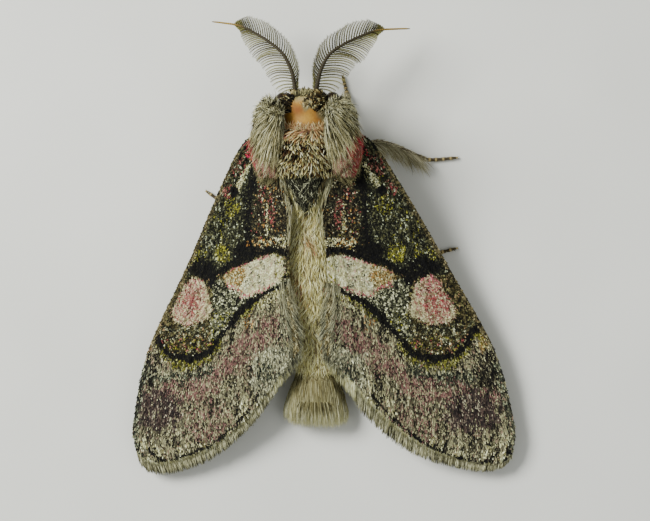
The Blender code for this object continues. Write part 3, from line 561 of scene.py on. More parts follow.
def hair_lines(root, out, lie, length, rise, fall, sway, rings):
    """Middle lines of hairs.

    At share t of its length a hair is at root + lie * length * t + side * sway * t^2
    + out * (rise * sin(90 t) - fall * t^2 - depth), the angle in degrees and side square to lie and out.
    """
    count = len(root)
    lie = unit(lie - (lie * out).sum(-1, keepdims=True) * out)
    side = np.cross(lie, out)
    t = np.linspace(0, 1, rings)[None, :, None]
    length, rise, fall, sway = [np.broadcast_to(np.asarray(value, float), count)[:, None, None]
                                for value in (length, rise, fall, sway)]
    lift = rise * np.sin(t * math.pi / 2) - fall * t**2 - ROOT_DEPTH
    return root[:, None] + lie[:, None] * length * t + out[:, None] * lift + side[:, None] * sway * t**2


def strands(middle, out, width, profile, thick=0.5):
    """Closed three-sided blades: two edges at half the width beside the middle line, a ridge above it."""
    run = unit(np.gradient(middle, axis=1))
    side = unit(np.cross(run, np.broadcast_to(out[:, None], middle.shape)))
    up = np.cross(side, run)
    half = np.broadcast_to(width, len(middle))[:, None, None] / 2 * np.asarray(profile)[None, :, None]
    return np.stack([middle + side * half, middle - side * half, middle + up * half * 2 * thick], axis=2)


def strand_faces(count, rings):
    """Faces of count blades of the given number of rings: three quads a step and a triangle at each end."""
    start = np.arange(count)[:, None, None] * rings * 3
    step = np.arange(rings - 1)[None, :, None] * 3
    j = np.arange(3)[None, None, :]
    k = (j + 1) % 3
    quads = joined(start + step + j, start + step + k, start + step + 3 + k, start + step + 3 + j)
    first = np.arange(count)[:, None] * rings * 3
    last = first + (rings - 1) * 3
    ends = np.vstack([first + (2, 1, 0), last + (0, 1, 2)])
    return [quads.reshape(-1, 4), ends]


class Coat:
    """Collects the blades of one piece with their tints and their places on the skin's unwrap."""

    def __init__(self, name, slot, draw):
        self.name = name
        self.slot = slot
        self.draw = draw
        self.groups = {}

    def dyed(self, mix, count):
        """Colours out of a mixture at random."""
        return pick(mix, self.draw.uniform(0, 1, count))

    def add(self, blade, root_tint, tip_tint, place, turning=0.55):
        """Adds blades. Their tint runs from the root's to the tip's, half way at the share turning."""
        rings = blade.shape[1]
        t = np.linspace(0, 1, rings)
        mix = ramp((t - turning) / 0.5 + 0.5)[None, :, None, None]
        tint = root_tint[:, None, None] * (1 - mix) + tip_tint[:, None, None] * mix
        tint = np.broadcast_to(tint, blade.shape)
        across = np.array((0.0, 1.0, 0.5))[None, :]
        patch = joined(*np.broadcast_arrays(t[:, None], across)) * PATCH
        bake = place[:, None, None] * 0.99 + patch[None]
        self.groups.setdefault(rings, []).append((blade, tint, bake))

    def hairs(self, roots, lie, length, width, tints, rise=0.1, fall=0.05, sway=0.05, profile=HAIR,
              thick=0.5, turning=0.55, low=None):
        """Adds hairs from roots, which are points, outward directions and places, lying the way of lie.

        Where length, width or rise is a pair, each hair draws its own from that range.
        """
        count = len(roots[0])
        length, width, rise = [self.draw.uniform(*value, count) if isinstance(value, tuple) else value
                               for value in (length, width, rise)]
        swing = sway * np.random.default_rng(count).normal(0, 1, count)
        middle = hair_lines(roots[0], roots[1], lie, length, rise, fall, swing, len(profile))
        blade = strands(middle, roots[1], width, profile, thick)
        if low is not None:
            blade[..., 2] = np.maximum(blade[..., 2], low)
        self.add(blade, tints[0], tints[1], roots[2], turning)

    def tuft(self, roots, mix, shades, ways, length, width, *more):
        """Adds hairs that lie about one way. Shades multiply the mixture's colours at root and tip."""
        # The shades give a darker copy of each colour at the root, painted shade deep in the coat, and
        # mostly a lighter one at the tip, painted light.
        tint = self.dyed(mix, len(roots[0]))
        lie = way(self.draw, len(tint), *ways)
        self.hairs(roots, lie, length, width, (tint * shades[0], tint * shades[1]), *more)

    def finish_up(self):
        """Makes the piece, its blades joined into one mesh."""
        points, tints, bakes, faces = [], [], [], []
        total = 0
        for rings, group in self.groups.items():
            blade, tint, bake = [np.concatenate([entry[k] for entry in group]) for k in range(3)]
            faces += [face + total for face in strand_faces(len(blade), rings)]
            total += len(blade) * rings * 3
            points.append(blade.reshape(-1, 3))
            tints.append(tint.reshape(-1, 3))
            bakes.append(bake.reshape(-1, 2))
        return piece(self.name, np.vstack(points), faces, FINISH["hair"], self.slot, np.vstack(tints),
                     np.vstack(bakes))


def body_at(y, angle):
    """Point and outward direction of the body skin: an oval across y, with angle 0 right and 90 on top."""
    line = smooth_line(BODY, 600)[::-1]
    top, low, half = [np.interp(y, line[:, 0], line[:, k]) for k in (1, 2, 3)]
    turn = np.radians(angle)
    high = (top - low) / 2
    point = joined(half * np.cos(turn), y, (top + low) / 2 + high * np.sin(turn))
    ahead, behind = [np.interp(y + step, line[:, 0], line[:, 3]) for step in (0.05, -0.05)]
    lean = np.clip(-(ahead - behind) * 10, -1.5, 1.5)
    out = joined(np.cos(turn) / half, lean / np.maximum(half, 0.3), np.sin(turn) / high)
    return point, unit(out)


def unwrapped(unwrap, y, angle):
    """Places on an unwrap: how far back y lies along it, and the angle as a share of the full turn."""
    return joined((unwrap[0] - y) / unwrap[1], (angle % 360) / 360)


def skin_roots(y, angle):
    """Roots on the body skin: point, outward direction and place on the unwrap."""
    return (*body_at(y, angle), unwrapped(SKIN_UNWRAP, y, angle))


def on_body(draw, count, y_range, angle_range):
    """Random places of the body skin: y, angle, and their roots."""
    y = draw.uniform(*y_range, count)
    angle = draw.uniform(*angle_range, count)
    return y, angle, skin_roots(y, angle)


def tegula_at(side, y, angle):
    """Point and outward direction of a shoulder tuft: a tilted oval across y, angle 0 its outer edge."""
    line = smooth_line(TEGULA, 200)[::-1]
    x, z, half, high = [np.interp(y, line[:, 0], line[:, k]) for k in (1, 2, 3, 4)]
    turn = np.radians(angle)
    cosine, sine = math.cos(TEGULA_TILT), math.sin(TEGULA_TILT)
    tilt = np.array([[cosine, sine], [-sine, cosine]])
    flat = tilt @ np.stack([half * np.cos(turn), high * np.sin(turn)])
    away = tilt @ np.stack([np.cos(turn) / half, np.sin(turn) / high])
    point = joined(side * (x + TEGULA_SHIFT[side] + flat[0]), y, z + flat[1])
    nose = ramp(y - 7.6, 0.8) * 1.5
    return point, unit(joined(side * away[0], nose, away[1]))


def tegula_roots(side, y, angle):
    """Roots on a shoulder tuft: point, outward direction and place on the unwrap."""
    return (*tegula_at(side, y, angle), unwrapped(TEGULA_UNWRAP, y, angle))


def roof_height(x, y):
    """Height of the forewing: from the ridge along the body, straight across to the eaves at the front edge.

    The ridge sinks by 0.02 times the distance behind its start to the power 1.8.
    """
    ridge = RIDGE_HEIGHT - 0.02 * np.maximum(RIDGE_START - y, 0.0) ** 1.8
    costa = smooth_line(FOREWING["front"], 60)[::-1]
    reach = np.interp(y, costa[:, 1], costa[:, 0])
    eaves = np.interp(y, EAVES_Y, EAVES)
    inner = FOREWING["back"][0][0]
    return ridge + (eaves - ridge) * np.clip((x - inner) / (reach - inner), 0.0, 1.1)


def wing_plan(shape, u, v):
    """Coons patch of the wing's edges: both ruled surfaces between opposite edges, less their corners."""
    at = np.linspace(0, 1, 400)
    edges = {name: smooth_line(shape[name], 400) for name in ("front", "back", "base", "edge")}

    def on(name, t):
        """Places along one edge."""
        return np.stack([np.interp(t, at, edges[name][:, k]) for k in range(2)], axis=-1)

    u2 = u[..., None]
    v2 = v[..., None]
    first = (1 - v2) * edges["front"][0] + v2 * edges["back"][0]
    last = (1 - v2) * edges["front"][-1] + v2 * edges["back"][-1]
    return ((1 - v2) * on("front", u) + v2 * on("back", u) + (1 - u2) * on("base", v) + u2 * on("edge", v)
            - (1 - u2) * first - u2 * last)


def wing_at(shape, side, u, v):
    """Point of a wing's upper face: the plan, lifted to the roof, with a low ridge along each vein.

    Across a vein the ridge falls off as e to the minus square of the distance over the vein's width.
    """
    plan = wing_plan(shape, u, v)
    x = plan[..., 0]
    y = plan[..., 1]
    z = roof_height(x, y) - shape["drop"]
    for place, start in shape["veins"]:
        rise = ramp((u - start) / 0.08 + 0.5) if start else 1.0
        z = z + VEIN_RISE * rise * np.exp(-((v - place) / VEIN_WIDTH) ** 2) * ramp(1 - u, 0.05)
    swing = WING_SWING * side
    away = plan - WING_HINGE
    px = WING_HINGE[0] + away[..., 0] * math.cos(swing) - away[..., 1] * math.sin(swing)
    py = WING_HINGE[1] + away[..., 1] * math.cos(swing) + away[..., 0] * math.sin(swing)
    return joined(side * px, py, z)


def wing_frame(shape, side, u, v, step=0.004):
    """Point, directions up and to the outer and inner margins by differences, and the area they span."""
    point = wing_at(shape, side, u, v)
    along = wing_at(shape, side, np.minimum(u + step, 1), v)
    along = along - wing_at(shape, side, np.maximum(u - step, 0), v)
    across = wing_at(shape, side, u, np.minimum(v + step, 1))
    across = across - wing_at(shape, side, u, np.maximum(v - step, 0))
    up = np.cross(along, across) * -side
    return point, unit(up), unit(along), unit(across), np.linalg.norm(up, axis=-1)


def fringe_start(shape, v):
    """Share of the wing's length at which the membrane ends and the fringe begins."""
    ends = [wing_plan(shape, np.full_like(v, share), v) for share in (0.0, 1.0)]
    return 1 - FRINGE / np.linalg.norm(ends[1] - ends[0], axis=-1)


def shared_draw(draw, u, v, outer):
    """Uniform numbers for scales. Most share theirs with the few beside them, which makes fine flecks.

    The flecks are short inside the outer line across the wing and drawn out along the veins beyond it.
    """
    table = draw.uniform(0, 1, (256, 512))
    loose = draw.uniform(0, 1, u.shape)
    blur = draw.normal(0, 0.3, u.shape)
    across = np.floor(v * np.where(outer, 210, 80) + blur).astype(int) % 256
    phase = draw.uniform(0, 1, 256)[across]
    along = np.floor(u * np.where(outer, 85, 180) + phase + blur).astype(int) % 512
    return np.where(draw.uniform(0, 1, u.shape) < np.where(outer, 0.62, 0.7), table[across, along], loose)


def forewing_tint(plan, u, v, side, part):
    """Tint of each place on a forewing.

    Regions are painted in turn over the ground. The distance to each one's edge is shaken a little from
    scale to scale, which gives the ragged edges of real markings, and a mixture may come through only to a
    given share.
    """
    draw = dice(part, side)
    shape = u.shape
    y = plan[..., 1]
    x = plan[..., 0] + side * np.clip(0.05 + 0.027 * (5 - y), 0.05, 0.45)
    shake = draw.normal(0, 0.05, shape)
    which, rare = [shared_draw(draw, u, v, -above_line(x, y, POSTMEDIAL) > 0) for _ in range(2)]
    cloud = waves(x, y, 3, 1.1)
    fine = waves(x, y, 4, 0.45)
    stripes = waves(v * 34, u * 2.2, 7, 1.0) + 0.5 * cloud
    tint = pick(DARK_GROUND, which)

    def paint(mask, mix, share=1.0):
        """Lets a share of a mixture through where the mask holds."""
        nonlocal tint
        tint = choose(mask & (rare < share), pick(mix, which), tint)

    def oval(place, reach, mix, share=1.0, within=True):
        """Paints an oval about a place: where the shaken distance over its half widths is under 1."""
        away = np.hypot((x - place[0]) / reach[0], (y - place[1]) / reach[1]) + 2 * shake + 0.25 * fine
        paint(within & (away < 1), mix, share)

    margin = to_line(plan[..., 0], y, smooth_line(FOREWING["edge"], 50))
    front = to_line(plan[..., 0], y, smooth_line(FOREWING["front"], 60))
    past = -above_line(x, y, POSTMEDIAL)
    before = above_line(x, y, ANTEMEDIAL)
    outer = past > 0
    base = before > 0
    medial = ~outer & ~base

    # Basal part: dark with grey streaks, its inner half mottled, flecked with olive yellow and pink
    paint(base & (x < 2.9), INNER_GROUND)
    paint(base & (x > 3.2) & (stripes > 0.45), GREY_GROUND, 0.55)
    paint(base & (cloud < -0.45), GREY_GROUND, 0.35)
    for place, reach, share in (((4.0, 2.9), (0.45, 0.6), 0.4), ((4.55, 0.4), (0.42, 0.5), 0.8),
                                ((6.0, 0.2), (0.6, 0.45), 0.35), ((4.9, 1.7), (0.9, 0.9), 0.05),
                                ((3.45, 4.2), (0.5, 0.6), 0.15), ((2.2, 1.4), (0.6, 0.8), 0.1),
                                ((5.2, 1.6), (0.9, 1.2), 0.04)):
        oval(place, reach, OLIVE_YELLOW, share)
    for place, reach, share in (((1.75, 2.5), (0.22, 0.9), 0.28), ((4.3, 3.75), (0.3, 0.5), 0.25),
                                ((2.3, 3.6), (0.3, 0.6), 0.22), ((2.5, 2.0), (0.5, 1.0), 0.08),
                                ((3.6, 4.9), (0.5, 0.5), 0.22)):
        oval(place, reach, PINK_FLECKS, share)
    oval((2.45, 5.0), (0.5, 0.35), ROSE_HAIR, 0.5)
    oval((2.75, 5.4), (0.35, 0.35), CRIMSON_HAIR, 0.6)
    paint(base & (x < 2.9), ORANGE_FLECKS, 0.03)
    paint(to_line(x, y, CREAM_STREAK) + shake + 0.05 * fine < 0.14, CREAM, 0.8)
    paint((np.abs(x - 2.0) + 0.7 * shake < 0.05) & (y > 1.3) & (y < 3.0), CREAM, 0.6)
    streak = np.interp(y, (0.7, 1.6, 2.2, 2.6, 3.4, 3.9, 5.0), (0.3, 0.17, 0.12, 0.15, 0.19, 0.26, 0.22))
    fold = to_line(x, y, BASAL_STREAK)
    paint(fold + 2.5 * shake < streak + 0.16, DARK_GROUND, 0.75)
    paint(fold + 1.8 * shake < streak, BLACK)
    oval((3.85, 3.6), (0.24, 0.27), BLACK)
    oval((3.2, 0.55), (0.75, 0.45), BLACK)
    oval((1.65, 0.98), (0.9, 0.25), CREAM, 0.45)
    oval((2.3, 0.98), (0.8, 0.25), ORANGE_FLECKS, 0.15)

    # Middle part: brown field, speckle, cream patch and round spot
    paint(medial, UNDER_SPOT)
    paint(medial & (x + 0.15 * fine < 5.2) & (y < -0.9), SPECKLE_SCALES)
    paint(medial & (x > 5.2) & (y < -3.2 + 0.2 * cloud), SPECKLE_SCALES, 0.35)
    paint(medial & (x > 5.2) & (y < -4.0 + 0.2 * cloud), OLIVE_YELLOW, 0.16)
    paint(medial & (x > 5.2) & (y < -4.0), PINK_FLECKS, 0.05)
    paint(medial & (x < 5.2) & (y < -2.6), OLIVE_YELLOW, 0.18)
    patch = from_outline(x, y, CREAM_PATCH) + shake
    in_patch = patch < 0
    paint(in_patch, PATCH_CREAM)
    paint(in_patch & (cloud + fine < -0.5), TORNUS, 0.4)
    paint(in_patch & (x + 1.6 * shake + 0.2 * cloud > 3.4), TAN, 0.85)
    paint(in_patch & (x > 3.3), ORANGE_FLECKS, 0.07)
    paint(in_patch & (patch > -0.16) & (before > -0.36) & (x > 1.9), PINK_EDGE, 0.6)
    paint(in_patch & (patch > -0.14) & (y < -1.0) & (x > 1.6), PINK_EDGE, 0.5)
    paint(in_patch & (x < 1.6), OLIVE_YELLOW, 0.2)
    spot = from_outline(x, y, ROUND_SPOT) + shake
    middle = np.hypot((x - SPOT_CENTRE[0]) / 0.9, (y - SPOT_CENTRE[1]) / 1.2) + 0.2 * fine + 4 * shake
    in_spot = spot < 0
    paint(in_spot, SPOT_CREAM)
    paint((spot < 0.02) & (middle < 1.25), SPOT_PINK, 0.4)
    paint((spot < 0.02) & (middle < 0.9), SPOT_PINK, 0.8)
    paint(in_spot & (y > -1.7) & (stripes > 0.1), UNDER_SPOT, 0.22)
    paint(in_spot & (middle < 0.55), SPOT_RED, 0.27)
    paint(in_spot & (y > -1.15 + 3 * shake), PINK_EDGE, 0.3)

    # Outer part: pale and streaked, with dark wedges, a dusky pink band and a smoky patch near the tip
    paint(outer, OUTER)
    paint(outer & (stripes > 0.35), OUTER_DARK, 0.8)
    vein = np.abs(v[..., None] - np.array([place for place, _ in FOREWING["veins"]])).min(axis=-1)
    paint(outer & (margin < 2.2) & (vein > 0.03) & (stripes + fine > -0.1), OUTER_DARK, 0.55)
    paint(outer & (margin < 1.5) & (vein < 0.03), CREAM, 0.3)
    paint(outer & (x < 3.0 + 0.3 * cloud) & (y < -4.3), TORNUS, 0.8)
    oval((2.2, -5.7), (0.5, 0.5), GREY_SCALES, 0.6)
    olive = outer & (past + 2 * shake + 0.15 * cloud < np.where(x > 4.6, 0.62, 0.45))
    paint(olive & ((x > 4.6) | (np.abs(x - 3.2) < 0.75)), OLIVE_DARK, 0.85)
    oval((3.2, -3.1), (0.4, 0.35), ORANGE_FLECKS, 0.15)
    paint(outer & (past < 0.7) & (x < 2.6), CREAM, 0.45)
    paint(outer & (past < 0.5) & (x < 2.6), OLIVE_YELLOW, 0.2)
    for mix, share in ((TAN, 0.75), (OLIVE_YELLOW, 0.25)):
        oval((8.95, -4.2), (0.32, 0.5), mix, share, outer)
    paint(outer & (to_line(x, y, GREY_BAND) + 2 * shake + 0.15 * cloud < 0.38), GREY_SCALES, 0.8)
    band = to_line(x, y, PINK_BAND) + 3 * shake + 0.3 * cloud
    paint(outer & (band < 0.5), DUSKY_PINK, 0.78)
    oval((8.4, -7.7), (1.45, 1.1), SMOKY, 0.95, outer)
    oval((9.35, -5.7), (0.75, 0.95), OUTER_DARK, 0.85, outer)
    oval((9.1, -5.3), (0.8, 0.8), BLACK, 0.35, outer)
    oval((5.5, -8.4), (1.3, 1.1), DUSKY_PINK, 0.35, outer)
    weight = np.interp(x, (1.0, 2.2, 3.0, 3.6, 4.4, 5.6, 6.6, 8.0, 8.6),
                       (0.1, 0.1, 0.2, 0.22, 0.11, 0.17, 0.2, 0.13, 0.2))
    paint(to_line(x, y, POSTMEDIAL) + shake + 0.04 * fine < weight, BLACK)
    inner = np.interp(x, (0.9, 1.6, 2.4, 3.0, 3.6, 4.2, 5.2), (0.12, 0.17, 0.15, 0.24, 0.28, 0.18, 0.14))
    paint(to_line(x, y, ANTEMEDIAL) + shake + 0.03 * fine < inner, BLACK)
    paint(from_outline(x, y, COSTAL_BLACK) + 1.4 * shake < 0, BLACK, 0.95)

    # Margins: brown front edge, dark outer front edge, striped inner edge, dark crescents before the fringe
    paint((front + shake < 0.22) & (y > -4.2) & (y < 5.6), COSTAL_EDGE, 0.85)
    paint((front + 2 * shake < 0.34) & (y < -5.2), GREY_SCALES, 0.75)
    paint((v > 0.955) & (y < -1.3), STRIPED_MARGIN)
    crescents = 0.5 + 0.5 * np.cos(math.tau * v / 0.115)
    paint((np.abs(margin - 0.9) + shake * 0.5 < 0.04 + 0.06 * crescents) & (v < 0.7), BLACK, 0.9)
    light = 1 + 0.14 * draw.normal(0, 1, shape) + 0.06 * cloud
    return np.clip(tint * light[..., None], 0.002, 0.9)


def wing_skin(name, shape, side, rows, columns, slot, tint_of):
    """A wing's membrane as a thin closed plate: its upper face, and that face lowered by its thickness."""
    v, s = np.meshgrid(np.linspace(0, 1, columns), np.linspace(0, 1, rows))
    u = s * fringe_start(shape, v)
    top = wing_at(shape, side, u, v)
    thin = MEMBRANE * np.clip(np.minimum(np.minimum(v, 1 - v), 1 - s) / 0.02, 0.25, 1)
    bottom = top - joined(np.zeros_like(u), np.zeros_like(u), thin)
    size = rows * columns
    index = np.arange(size).reshape(rows, columns)
    rim = np.concatenate([index[0, :-1], index[:-1, -1], index[-1, :0:-1], index[:0:-1, 0]])
    after = np.roll(rim, -1)
    upper = grid_faces(rows, columns)[:, ::-1]
    faces = [upper, upper[:, ::-1] + size, joined(rim, after, after + size, rim + size)]
    if side > 0:
        faces = [face[:, ::-1] for face in faces]
    half = joined(s, v).reshape(-1, 2) * (0.48, 0.98)      # the two faces lie side by side on the unwrap
    bake = np.vstack([half + (0.01, 0.01), half + (0.51, 0.01)])
    points = np.vstack([top.reshape(-1, 3), bottom.reshape(-1, 3)])
    tint = np.vstack([tint.reshape(-1, 3) for tint in tint_of(wing_plan(shape, u, v), u, v)])
    return piece(name, points, faces, FINISH["membrane"], slot, tint, bake)


def wing_scales(side, name):
    """The scales on a forewing's upper face, short and wide near the root, long and narrow near the margin.

    A scale is a closed flake of four triangles: a narrow root, two corners at its tip and a low ridge point.
    """
    draw = dice("scales", side)
    v = draw.uniform(0, 1, SCALES * 4)
    u = draw.uniform(0, 1, SCALES * 4) * fringe_start(FOREWING, v)
    area = wing_frame(FOREWING, side, u, v)[4] * fringe_start(FOREWING, v)
    keep = draw.uniform(0, 1, len(u)) < area / np.quantile(area, 0.98)
    u = u[keep][:SCALES]
    v = v[keep][:SCALES]
    point, up, lie, across, _ = wing_frame(FOREWING, side, u, v)
    plan = wing_plan(FOREWING, u, v)
    count = len(u)
    lie = unit(lie + across * draw.normal(0, 0.18, count)[:, None])
    past = ramp(-above_line(plan[:, 0], plan[:, 1], POSTMEDIAL), 1.5)
    length = ((0.13 + 0.17 * past) * draw.uniform(0.75, 1.3, count))[:, None]
    width = ((0.072 - 0.02 * past) * draw.uniform(0.8, 1.25, count))[:, None]
    lift = (draw.uniform(0.02, 0.055, count) + 0.015 * past)[:, None]
    beside = np.cross(lie, up)
    root = point - lie * length * 0.4
    tip = root + lie * length + up * lift
    apex = root + lie * length * 0.7 + up * (lift * 0.7 + width * 0.25)
    flake = np.stack([root, tip - beside * width / 2, tip + beside * width / 2, apex], axis=1)
    shade = np.array((0.8, 1.08, 1.08, 1.0))     # darker at its root and lighter at its tip corners: painted shade and painted light
    tint = forewing_tint(plan, u, v, side, "scale_tint")[:, None] * shade[None, :, None]
    start = np.arange(count)[:, None] * 4
    faces = [start + corner for corner in ((0, 1, 2), (1, 0, 3), (2, 1, 3), (0, 2, 3))]
    patch = np.array(((0.5, 0), (0, 1), (1, 1), (0.5, 0.7))) * PATCH
    bake = joined(u, v)[:, None] * 0.99 + patch
    return piece("forewing_scales_" + name, flake.reshape(-1, 3), faces, FINISH["scales"], "wing_scales",
                 tint.reshape(-1, 3), bake.reshape(-1, 2), smooth=False)


def wing_fringe(side, name):
    """Outer fringe in two layers, pale hairs by the thorax and long ones over the inner margin."""
    draw = dice("fringe", side)
    coat = Coat("forewing_fringe_" + name, "wing_scales", draw)
    count = 2900
    v = draw.uniform(0.0, 1.0, count)
    u = fringe_start(FOREWING, v)
    point, up, lie, across, _ = wing_frame(FOREWING, side, u - 0.004, v)
    short = draw.uniform(0, 1, count) < 0.45
    lie = lie + across * draw.normal(0, 0.06, count)[:, None]
    length = FRINGE * np.where(short, draw.uniform(0.3, 0.62, count), draw.uniform(0.8, 1.06, count))
    length = length * np.interp(v, FRINGE_AT, FRINGE_SHARE[side])
    dash = np.sin(v * 260) + 1.1 * draw.normal(0, 1, count) > 0.45
    corner = v > 0.8
    cream, pale, dark = [coat.dyed(mix, count) for mix in (CREAM, FRINGE_PALE, FRINGE_DARK)]
    # Long hairs get a darker copy of their colour at the root and a lighter one at the tip: painted shade
    # and painted light.
    root = choose(short, cream, choose(dash & ~corner, dark, pale * 0.6))
    tip = choose(corner, cream, choose(short, dark, choose(dash, dark, pale) * 1.2))
    roots = (point - up * np.where(short, 0.0, 0.03)[:, None], up, joined(u, v))
    coat.hairs(roots, lie, length, (0.045, 0.07), (root, tip), 0.03, 0.05, 0.04, (0.8, 1.0, 0.9, 0.25))

    count = 60
    margin = smooth_line(((1.5, 4.6), (1.15, 3.9), (0.92, 3.1), (0.86, 2.3), (0.9, 1.3)), 200)
    k = draw.integers(0, 200, count)
    x, y = margin[k].T + 0.06 * draw.normal(0, 1, (2, count))
    roots = (joined(side * x, y, roof_height(x, y) + 0.05),
             np.broadcast_to((0.0, 0.0, 1.0), (count, 3)), joined(k / 210, k / 210))
    # Darker roots are painted shade.
    coat.tuft(roots, CREAM_HAIR, (0.6, 1), (-0.2 * side * (y > 2.6), -1.0, 0.0, 0.1), (0.4, 0.85), 0.024,
              (0.02, 0.12), 0.03, 0.07)

    count = 1200
    v = draw.uniform(0.86, 1.0, count)
    u = draw.uniform(0.42, 0.94, count)
    point, up, lie, across, _ = wing_frame(FOREWING, side, u, v)
    inward = lie + across * np.interp(u, (0.42, 0.7, 0.96), (0.25, 0.5, 0.3))[:, None]
    inward = inward + across * draw.normal(0, 0.08, count)[:, None]
    which = draw.uniform(0, 1, count)
    tint = choose(u > 0.6, pick(TORNUS, which), pick(FRINGE_PALE, which))
    length = np.interp(u, (0.42, 0.7, 0.94), (0.95, 0.9, 0.5)) * draw.uniform(0.6, 1.15, count)
    # A darker root and a lighter tip: painted shade and painted light.
    coat.hairs((point, up, joined(u, v)), inward, length, (0.026, 0.042),
               (tint * 0.6, tint * 1.05), (0.04, 0.18), 0.06, 0.08)
    return coat.finish_up()


def plain_tint(plan, u, v):
    """Plain grey-brown scales in fine flecks, for the faces that have no markings."""
    tint = pick(PLAIN_UNDER, np.random.default_rng(5).uniform(0, 1, u.shape))
    # The lower face takes a darker copy of the colour: painted shade under the wing.
    return tint, tint * 0.9


def body_skin():
    """One skin from the face to the tail, ovals across the body, tinted as the coat above it."""
    line = smooth_line(BODY, 260)
    turn = np.linspace(0, math.tau, 96, endpoint=False)
    x = line[:, 3, None] * np.cos(turn)
    z = (line[:, 1] + line[:, 2])[:, None] / 2 + (line[:, 1] - line[:, 2])[:, None] / 2 * np.sin(turn)
    y = np.broadcast_to(line[:, 0, None], x.shape)
    points, faces = closed_tube(joined(x, y, z))
    x, y, z = points.T
    upper = ramp(z - 3.6, 0.3)
    disc = upper * ramp(y - 4.2, 0.2) * ramp(6.9 - y, 0.2)
    slate = upper * ramp(0.5 * (y - 2.2) - np.abs(x), 0.1) * ramp(4.6 - y, 0.2)
    under = ramp(y - 2.7, 0.3) * (1 - upper)
    nape = from_outline(x, y, BARE_NAPE) + 0.06 * waves(x, y, 9, 0.5)
    bare = ramp(0.5 - nape / 0.15) * upper
    amber = blend(AMBER_DEEP, AMBER, ramp(0.6 + 0.4 * waves(x, y, 12, 0.9)))
    tint = blend(UNDER_FUR, GREY_SKIN, under)
    amber = blend(amber, CROWN, ramp(y - 8.0, 0.25))
    for colour, share in ((DISC_SKIN, disc), (SLATE_SKIN, slate), (amber, bare)):
        tint = blend(tint, colour, share)
    skin = bare_skin("body_skin", (points, faces), "tan_fur", tint)
    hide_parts("head", "thorax", "abdomen", "anal_tuft")


def head_coat():
    """Short fur of the face, dark brows over the eyes, and tufts between and beside the feelers."""
    draw = dice("head")
    coat = Coat("head_fur", "tan_fur", draw)
    y, _, roots = on_body(draw, 3900, (7.3, 8.6), (-110, 290))
    bare = (from_outline(roots[0][:, 0], roots[0][:, 1], BARE_NAPE) < 0.02) & (roots[0][:, 2] > 3.8)
    y, roots = some((y, roots), ~bare)
    count = len(y)
    x, _, z = roots[0].T
    brow = (np.abs(x) > 0.62) & (z > 3.7) & (y > 7.6)
    dark = brow | ((x > 0.05) & (y > 7.75) & (draw.uniform(0, 1, count) < 0.6) & (z > 3.7))
    which = draw.uniform(0, 1, count)
    tint = choose(dark, pick(BROW_HAIR, which), pick(FACE_HAIR, which))
    length = np.where(brow, 0.42, 0.26) * draw.uniform(0.7, 1.25, count)
    sideways, ahead, upward = [np.where(brow, *pair) for pair in ((2.0, 0.6), (0.3, 0.75), (-0.1, 0.4))]
    lie = way(draw, count, sideways * x, ahead, upward, 0.25)
    # Darker roots and lighter tips: painted shade in the fur and painted light on it.
    coat.hairs(roots, lie, length, draw.uniform(0.035, 0.06, count), (tint * 0.5, tint * 1.15),
               np.where(brow, draw.uniform(0.15, 0.32, count), draw.uniform(0.05, 0.18, count)), 0.05, 0.05)

    for span, around, mix, tall, sideways, count in (
            ((8.3, 8.58), (50, 120), GREY_FUR, 0.22, 0.8, 200),
            ((7.6, 8.45), (25, 72), TAN, 0.26, 0.8, 240),
            ((7.5, 8.4), (12, 72), BROW_HAIR, 0.38, 1.3, 460),
            ((7.5, 8.45), (118, 170), BROW_HAIR, 0.62, 1.8, 760)):
        roots = on_body(draw, count, span, around)[2]
        tint = coat.dyed(mix, count)
        lie = way(draw, count, sideways * roots[0][:, 0], 1 / sideways, 0.3, 0.3)
        length = tall * draw.uniform(0.6, 1.2, count)
        # Darker roots and lighter tips: painted shade in the fur and painted light on it.
        coat.hairs(roots, lie, length, 0.05, (tint * 0.4, tint * 1.1), (0.1, 0.3), 0.0, 0.05, SPATULA, 0.25)
    return coat.finish_up()


